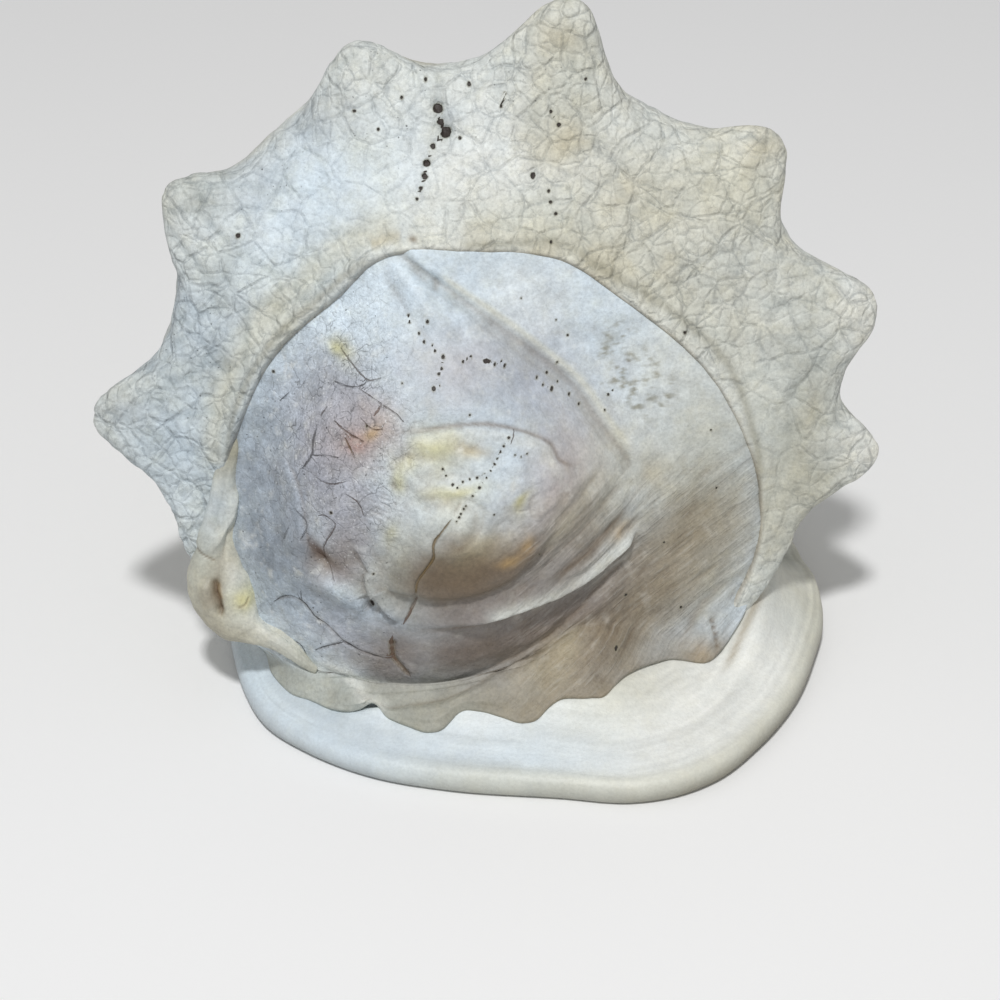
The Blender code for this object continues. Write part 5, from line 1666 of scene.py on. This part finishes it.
    if whorls:
        away, width, gold = split(painted("crack", 1))
        ragged = (away + (light - 0.5) * 0.8 + (grain - 0.5) * 0.35).size()
        broken = warm.step(0.38, 0.5) * 0.5 + 0.5
        gate = width.step(0.02, 0.07)
        inside = (width * broken - ragged).step(-0.1, 0.06) * gate * (0.35 + 0.65 * patchy.step(0.36, 0.55))
        halo = (width * 2.2 - ragged).step(-0.3, 0.5) * width.step(0.12, 0.5)
        stain = gold.mixed(linear("ink"), linear("gold"))
        stain = (gold * (1 - gold) * 3.6).mixed(stain, linear("rust"))
        colour = (halo * 0.4).mixed(colour, linear("tan"))
        colour = (inside * 0.72).mixed(colour, stain)
        height = height - (width - (away + (grain - 0.5) * 0.5).size()).step(-0.1, 0.06) * gate * 0.25

    rough = painted("tint", 3) + (grain - 0.5) * 0.25
    normal = wire.node("ShaderNodeBump", None,
                       {"Strength": 1.0, "Distance": 0.001, "Height": height * shellFinish["relief"]})
    shader = tree.nodes["Principled BSDF"]
    shader.inputs["Specular IOR Level"].default_value = 0.4
    tree.links.new(colour.socket, shader.inputs["Base Color"])
    tree.links.new(rough.socket, shader.inputs["Roughness"])
    tree.links.new(normal.socket, shader.inputs["Normal"])
    print("finish", name, len(tree.nodes), "nodes")
    return material


plainShell = bleachedShell("bleachedShell")
finishes = {
    "lipAndShield": bleachedShell("smoothLedge", clean=0.45),
    "spireWhorls": bleachedShell("crackedSpire", whorls=True),
    "bodyWhorl": bleachedShell("leatheryCrown", creases=True),
}
for piece in pieces:
    piece.data.materials.append(finishes.get(piece.name, plainShell))

# Floor, light, sky and camera
studio = {
    "floorColour": (0.72, 0.72, 0.72),
    "floorSeen": (1.0, 1.0, 1.0),  # to the camera alone
    "keyPlace": (-0.10, -1.07, 1.78),
    "keySize": 0.17,
    "keyPower": 22.5,
    "skyStrength": 0.34,
    "cameraPlace": (0.00054, -0.652185, 0.4128),
    "cameraTarget": (0.00324, -0.053485, 0.048),
    "lens": 93.35,
}
bpy.ops.object.select_all(action="DESELECT")
bpy.ops.mesh.primitive_plane_add(size=6.0, location=(0, 0, 0))
floor = bpy.context.object
floor.name = "floor"
floorMaterial = bpy.data.materials.new("paleFloor")
floorMaterial.use_nodes = True
floorTree = floorMaterial.node_tree
floorShader = floorTree.nodes["Principled BSDF"]
seen = Wire(floorTree).node("ShaderNodeLightPath")
seen = seen.mixed((*studio["floorColour"], 1), (*studio["floorSeen"], 1))
floorTree.links.new(seen.socket, floorShader.inputs["Base Color"])
floorShader.inputs["Roughness"].default_value = 0.9
floor.data.materials.append(floorMaterial)


def areaLight(name, place, size, power, target=(0, -0.03, 0.06)):
    bpy.ops.object.light_add(type="AREA", location=place)
    lamp = bpy.context.object
    lamp.name = name
    lamp.data.energy = power
    lamp.data.size = size
    lamp.rotation_euler = (Vector(target) - Vector(place)).to_track_quat("-Z", "Y").to_euler()
    return lamp


areaLight("keyLight", studio["keyPlace"], studio["keySize"], studio["keyPower"])
world = bpy.data.worlds.new("studioSky")
bpy.context.scene.world = world
world.use_nodes = True
sky = world.node_tree.nodes["Background"]
sky.inputs["Strength"].default_value = studio["skyStrength"]
sky.inputs["Color"].default_value = (1, 1, 1, 1)

bpy.ops.object.camera_add(location=studio["cameraPlace"])
camera = bpy.context.object
camera.data.lens = studio["lens"]
camera.data.sensor_width = 36
aim = Vector(studio["cameraTarget"]) - Vector(studio["cameraPlace"])
camera.rotation_euler = aim.to_track_quat("-Z", "Y").to_euler()
bpy.context.scene.camera = camera
bpy.context.scene.view_settings.view_transform = "Standard"
